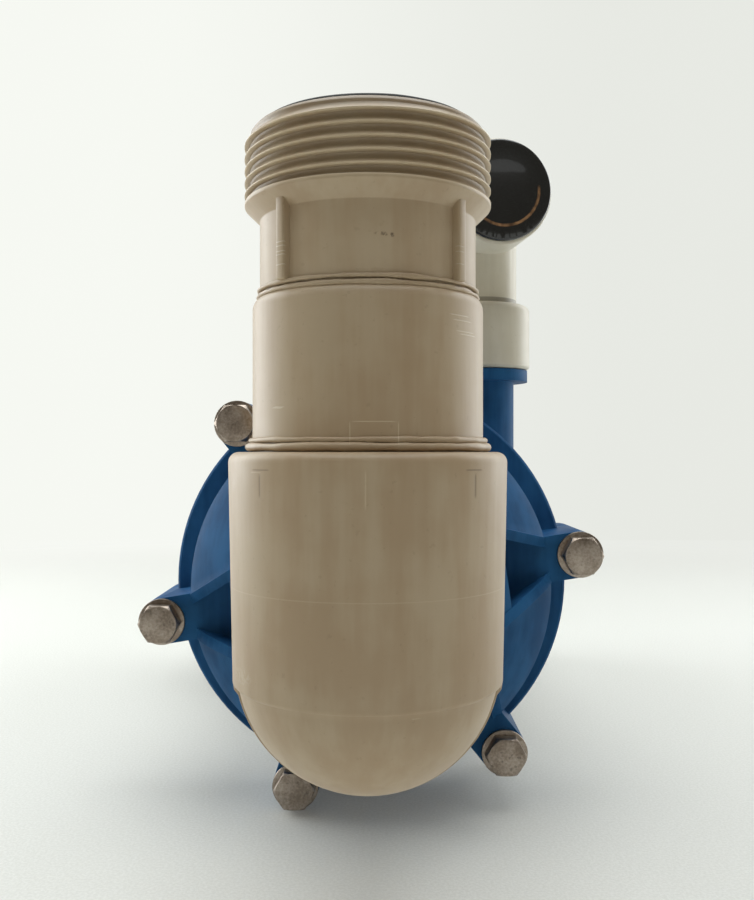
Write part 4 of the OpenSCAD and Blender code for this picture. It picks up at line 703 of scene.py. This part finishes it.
def turned_up(name, outline, steps=128):
    """A body turned about the riser's axis: a ring is extruded through the outline and closed on itself."""
    put_down()
    first_r, first_z = outline[0]
    bpy.ops.mesh.primitive_circle_add(vertices=steps, radius=first_r, location=(0, RISER_Y, first_z))
    piece = bpy.context.object
    bpy.ops.object.mode_set(mode="EDIT")
    bpy.ops.mesh.select_mode(type="EDGE")
    bpy.ops.mesh.select_all(action="SELECT")
    last_r, last_z = first_r, first_z
    for r, z in outline[1:] + outline[:1]:
        bpy.ops.mesh.extrude_edges_move(TRANSFORM_OT_translate={"value": (0, 0, z - last_z)})
        if r != last_r:
            growth = r / last_r
            bpy.ops.transform.resize(value=(growth, growth, 1), center_override=(0, RISER_Y, z))
        last_r, last_z = r, z
    put_down()
    settle(piece)
    piece.name = name
    return close_up(piece)


def arc_points(r, z, radius, start, end, steps=6):
    """Points of an arc about a centre, from one angle in degrees to another."""
    angles = [math.radians(start + (end - start) * i / steps) for i in range(steps + 1)]
    return [(r + radius * math.cos(a), z + radius * math.sin(a)) for a in angles]


def melt_bead(name, major, minor, z, waves, squash=1.0, unevenness=0.75 * MM):
    """A lip of moulded or molten plastic round the riser, with waves of a length and a height."""
    put_down()
    bpy.ops.mesh.primitive_torus_add(location=(0, RISER_Y, z), major_segments=220, minor_segments=14,
                                     major_radius=major, minor_radius=minor)
    bead = bpy.context.object
    bead.name = name
    bead.scale = (1, 1, squash)
    settle(bead)
    pattern = bpy.data.textures.new(name + "_waves", "CLOUDS")
    pattern.noise_scale = waves
    pattern.noise_depth = 2
    apply_modifier(bead, "DISPLACE", texture=pattern, texture_coords="LOCAL", strength=unevenness,
                   mid_level=0.5)
    return smooth(bead, 60)


def face_off_thread(thread, z, clear_below):
    """Cuts the thread square at a height and draws the cut's edge inwards as a flat face."""
    edit_all(thread)
    bpy.ops.mesh.bisect(plane_co=(0, RISER_Y, z), plane_no=(0, 0, 1), clear_inner=clear_below,
                        clear_outer=not clear_below, use_fill=False, threshold=0.0005 * MM)
    pick_up(thread)
    select_where(thread, "edges", lambda edge: all(
        abs(thread.data.vertices[v].co.z - z) < MERGE_GAP for v in edge.vertices))
    bpy.ops.mesh.extrude_edges_move(TRANSFORM_OT_translate={"value": (0, 0, 0)})
    share = (THREAD_ROOT_R - 0.4 * MM) / THREAD_R
    bpy.ops.transform.resize(value=(share, share, 1), center_override=(0, RISER_Y, z))
    put_down()


def thread_of_union():
    """The coarse right-hand thread: a tooth drawn point by point, swept as a helix, closed at both ends."""
    put_down()
    bpy.ops.mesh.primitive_plane_add(size=2 * MM, location=(0, RISER_Y, THREAD_Z - THREAD_PITCH))
    thread = bpy.context.object
    edit_all(thread)
    bpy.ops.mesh.merge(type="CENTER")
    bpy.ops.transform.translate(value=(THREAD_ROOT_R, 0, 0))
    depth = THREAD_R - THREAD_ROOT_R
    last_out, last_up = 0.0, 0.0
    for out, up in TOOTH_SHARES:
        step = ((out - last_out) * depth, 0, (up - last_up) * THREAD_PITCH)
        bpy.ops.mesh.extrude_vertices_move(TRANSFORM_OT_translate={"value": step})
        last_out, last_up = out, up
    put_down()
    apply_modifier(thread, "SCREW", axis="Z", angle=2 * math.pi, screw_offset=THREAD_PITCH, iterations=8,
                   steps=128, render_steps=128, use_merge_vertices=True, merge_threshold=0.001 * MM)
    settle(thread)
    close_up(thread)
    face_off_thread(thread, THREAD_Z + 0.3 * THREAD_PITCH, True)
    face_off_thread(thread, THREAD_END_Z + 0.4 * MM, False)
    edit_all(thread)
    bpy.ops.mesh.remove_doubles(threshold=MERGE_GAP)
    bpy.ops.mesh.select_all(action="DESELECT")
    bpy.ops.mesh.select_non_manifold(extend=False, use_wire=False, use_multi_face=False,
                                     use_non_contiguous=False, use_verts=False)
    bpy.ops.mesh.bridge_edge_loops()
    return close_up(thread)


def neck_rib(angle):
    """One upright rib on the union's neck, at an angle in degrees about the riser."""
    size = mm(3.6, 2.9, 21.2)
    reach = RIB_FRONT_R - size[0] / 2
    put_down()
    bpy.ops.mesh.primitive_cube_add(size=1, location=(0, RISER_Y, 0))
    rib = bpy.context.object
    rib.scale = size
    rib.rotation_euler = (0, 0, math.radians(angle))
    rib.location = (reach * math.cos(math.radians(angle)), RISER_Y + reach * math.sin(math.radians(angle)),
                    UNION_Z + size[2] / 2)
    settle(rib)
    return round_edges(rib, 0.5 * MM, segments=3)


def union_end():
    """The union's end: its neck and flange, a groove for the ring, the thread and three ribs."""
    edge = 1 * MM
    neck_top_z = UNION_Z + 18 * MM
    groove_z = UNION_TOP_Z - 1 * MM
    core_r = THREAD_ROOT_R - 0.02 * MM
    body = turned_up("union_end_worked", [
        (PASSAGE_R, UNION_Z), (NECK_R, UNION_Z), (NECK_R, neck_top_z), (THREAD_R, THREAD_Z),
        (THREAD_R, THREAD_Z + 0.3 * THREAD_PITCH), (core_r, THREAD_Z + 0.42 * THREAD_PITCH),
        (core_r, UNION_TOP_Z - edge), (core_r - edge, UNION_TOP_Z), (GROOVE_OUT_R, UNION_TOP_Z),
        (GROOVE_OUT_R, groove_z), (GROOVE_IN_R, groove_z), (GROOVE_IN_R, UNION_TOP_Z),
        (PASSAGE_R, UNION_TOP_Z)])
    round_edges(body, 0.22 * MM)
    ribs = [neck_rib(angle) for angle in RIB_ANGLES]
    return smooth(join("union_end_worked", body, thread_of_union(), *ribs), 38)


def coupling_sleeve():
    """The sleeve between elbow and union, with the melt beads of its two joints."""
    edge = 1 * MM
    shoulder_r = 3.4 * MM
    foot_z = sleeve_low.z
    mouth_r = NECK_R - 0.5 * MM
    body = turned_up("coupling_sleeve_worked", [
        (PASSAGE_R, foot_z), (PIPE_R - edge, foot_z), (PIPE_R, foot_z + edge)]
        + arc_points(PIPE_R - shoulder_r, SLEEVE_TOP_Z - shoulder_r, shoulder_r, 0, 68)
        + [(mouth_r, SLEEVE_TOP_Z), (mouth_r, UNION_Z), (PASSAGE_R, UNION_Z)])
    beads = [
        melt_bead("lower_bead_under", PIPE_R + 0.75 * MM, 1.25 * MM, RIM_Z + 1.2 * MM,
                  waves=9 * MM, squash=0.85),
        melt_bead("lower_bead_over", PIPE_R + 0.15 * MM, 0.95 * MM, RIM_Z + 2.9 * MM,
                  waves=7 * MM, squash=0.8),
        melt_bead("upper_bead_under", NECK_R + 0.1 * MM, 0.85 * MM, SLEEVE_TOP_Z - 0.1 * MM,
                  waves=8 * MM, squash=0.8),
        melt_bead("upper_bead_over", NECK_R + 0.05 * MM, 0.75 * MM, SLEEVE_TOP_Z + 1.5 * MM,
                  waves=6 * MM, squash=0.7)]
    return join("coupling_sleeve_worked", smooth(body, 30), *beads)


def union_o_ring():
    """The black ring in the union's rim, pressed a little uneven."""
    middle_r = (GROOVE_IN_R + GROOVE_OUT_R) / 2
    return melt_bead("union_o_ring_worked", middle_r, 1.2 * MM, UNION_TOP_Z + 0.1 * MM,
                     waves=14 * MM, unevenness=0.2 * MM)


cover(union_end(), union_beige, "fitting_beige", "pump", "union_end")
cover(coupling_sleeve(), sleeve_beige, "fitting_beige", "pump", "coupling_sleeve")
cover(union_o_ring(), black_rubber, "black_rubber", "pump", "union_o_ring")


# Studio

# The pale paper tones: painted brighter on the left and dimmer on the right, a painted fall-off of the studio
# light.
PAPER_LEFT_PAINTED_BRIGHT = paint(247, 249, 243)
PAPER_RIGHT_PAINTED_DIM = paint(232, 234, 228)
FLOOR_LEFT = paint(213, 214, 208)
FLOOR_RIGHT = paint(217, 218, 213)
FRONT_MIDDLE = (0, -0.3, 0.12)
CAMERA_PLACE = mm(2.4, -601.95, 143.2)
FOCAL_PIXELS = 956
PICTURE_HEIGHT_PIXELS = 900


def lit_paper(name, left, right, speckle, near_light):
    """Studio paper: it takes shadows near the object, and further off shows a pale tone, painted brighter on
    the left and dimmer on the right as the studio light falls.
    """
    finish = Finish(name, Roughness=0.6)
    grain = finish.noise(900, 4, 0.65)
    cloud = finish.noise(5, 3)
    side = finish.spread(finish.axis("X"), -0.4, 0.4)
    far = finish.spread(finish.away(finish.moved((0, -0.2, 0)), "X", "Y"), 0.4, 1.15)
    tint = finish.blend(side, left, right)
    # Further off, the paper shows the painted fall-off of light from left to right.
    tint = finish.blend(far, tint, finish.blend(side, PAPER_LEFT_PAINTED_BRIGHT, PAPER_RIGHT_PAINTED_DIM))
    tint = finish.blend(finish.spread(grain, 0.35, 0.7) * speckle, tint, paint(250, 251, 248))
    tint = finish.blend(cloud * 0.03, tint, paint(190, 192, 188))
    finish.colour(tint)
    finish.relief(grain, 0.2 * MM, 0.5)
    own_light = near_light + far * (1 - near_light)
    rays = [finish.node("ShaderNodeLightPath", out=kind) for kind in
            ("Is Camera Ray", "Is Glossy Ray", "Is Transmission Ray")]
    seen = finish.math("ADD", rays[0] + rays[1], rays[2], clamp=True)
    lit = Signal(finish, finish.shader.outputs[0])
    glow = finish.node("ShaderNodeEmission", None, {"Color": tint})
    finish.surface("Material Output", finish.node("ShaderNodeMixShader", None, {
        0: seen * own_light, 1: lit, 2: glow}))
    return finish


def paper_sheet(name, place, turn, size, finish):
    """One flat sheet of studio paper."""
    put_down()
    bpy.ops.mesh.primitive_plane_add(size=1, location=place, rotation=turn)
    sheet = bpy.context.object
    sheet.name = name
    sheet.scale = size
    settle(sheet)
    sheet.data.materials.append(finish.material)
    return sheet


def softbox(name, place, aim, size, power, shape="RECTANGLE"):
    """A flat lamp at a place, turned towards a point. It isn't seen itself."""
    light = bpy.data.lights.new(name, "AREA")
    light.shape = shape
    light.size, light.size_y = size
    light.energy = power
    light.color = (0.95, 0.985, 1.0)
    lamp = bpy.data.objects.new(name, light)
    lamp.location = place
    lamp.rotation_euler = (Vector(aim) - Vector(place)).to_track_quat("-Z", "Y").to_euler()
    lamp.visible_camera = False
    bpy.context.scene.collection.objects.link(lamp)


def room_light(level):
    """Even light from all round, which the camera sees as pale air."""
    world = bpy.data.worlds.new("studio_air")
    bpy.context.scene.world = world
    world.use_nodes = True
    air = Nodes(world.node_tree)
    even = air.tree.nodes["Background"]
    even.inputs["Color"].default_value = paint(244, 237, 224)
    even.inputs["Strength"].default_value = level
    glow = Signal(air, even.outputs[0])
    pale = air.node("ShaderNodeBackground", None, {"Color": paint(240, 242, 237), "Strength": 1.0})
    seen = air.node("ShaderNodeLightPath", out="Is Camera Ray")
    air.surface("World Output", air.node("ShaderNodeMixShader", None, {0: seen, 1: glow, 2: pale}))


def front_camera():
    """The photograph's straight front view, level with the elbow's rim."""
    eye = bpy.data.cameras.new("front_eye")
    eye.sensor_width = 36
    eye.lens = eye.sensor_width * FOCAL_PIXELS / PICTURE_HEIGHT_PIXELS
    eye.shift_y = 0.0022
    eye.clip_start = 10 * MM
    camera = bpy.data.objects.new("front_eye", eye)
    camera.location = CAMERA_PLACE
    camera.rotation_euler = (math.radians(90), 0, 0)
    bpy.context.scene.collection.objects.link(camera)
    bpy.context.scene.camera = camera


floor = paper_sheet("studio_floor", (0, -0.55, 0), LEVEL, (6, 3, 1),
                    lit_paper("floor_paper", FLOOR_LEFT, FLOOR_RIGHT, speckle=0.3, near_light=0.1))
wall = paper_sheet("studio_wall", (0, 0.95, 1.5), (math.radians(90), 0, 0), (6, 3, 1),
                   lit_paper("wall_paper", PAPER_LEFT_PAINTED_BRIGHT, PAPER_RIGHT_PAINTED_DIM, speckle=0.0, near_light=1.0))
softbox("left_softbox", (-0.92, 0.22, 0.5), FRONT_MIDDLE, size=(0.9, 1.0), power=10.4)
softbox("right_softbox", (0.92, 0.28, 0.5), FRONT_MIDDLE, size=(0.9, 1.0), power=6.6)
softbox("top_softbox", (0, -0.25, 1.25), (0, -0.25, 0.1), size=(1.2, 1.2), power=13)
softbox("cap_glint", (0.52, -1.28, 0.7), (0.05, -0.21, 0.25), size=(0.3, 0.1), power=0.06, shape="ELLIPSE")
room_light(0.225)
front_camera()
bpy.context.scene.view_settings.view_transform = "Standard"
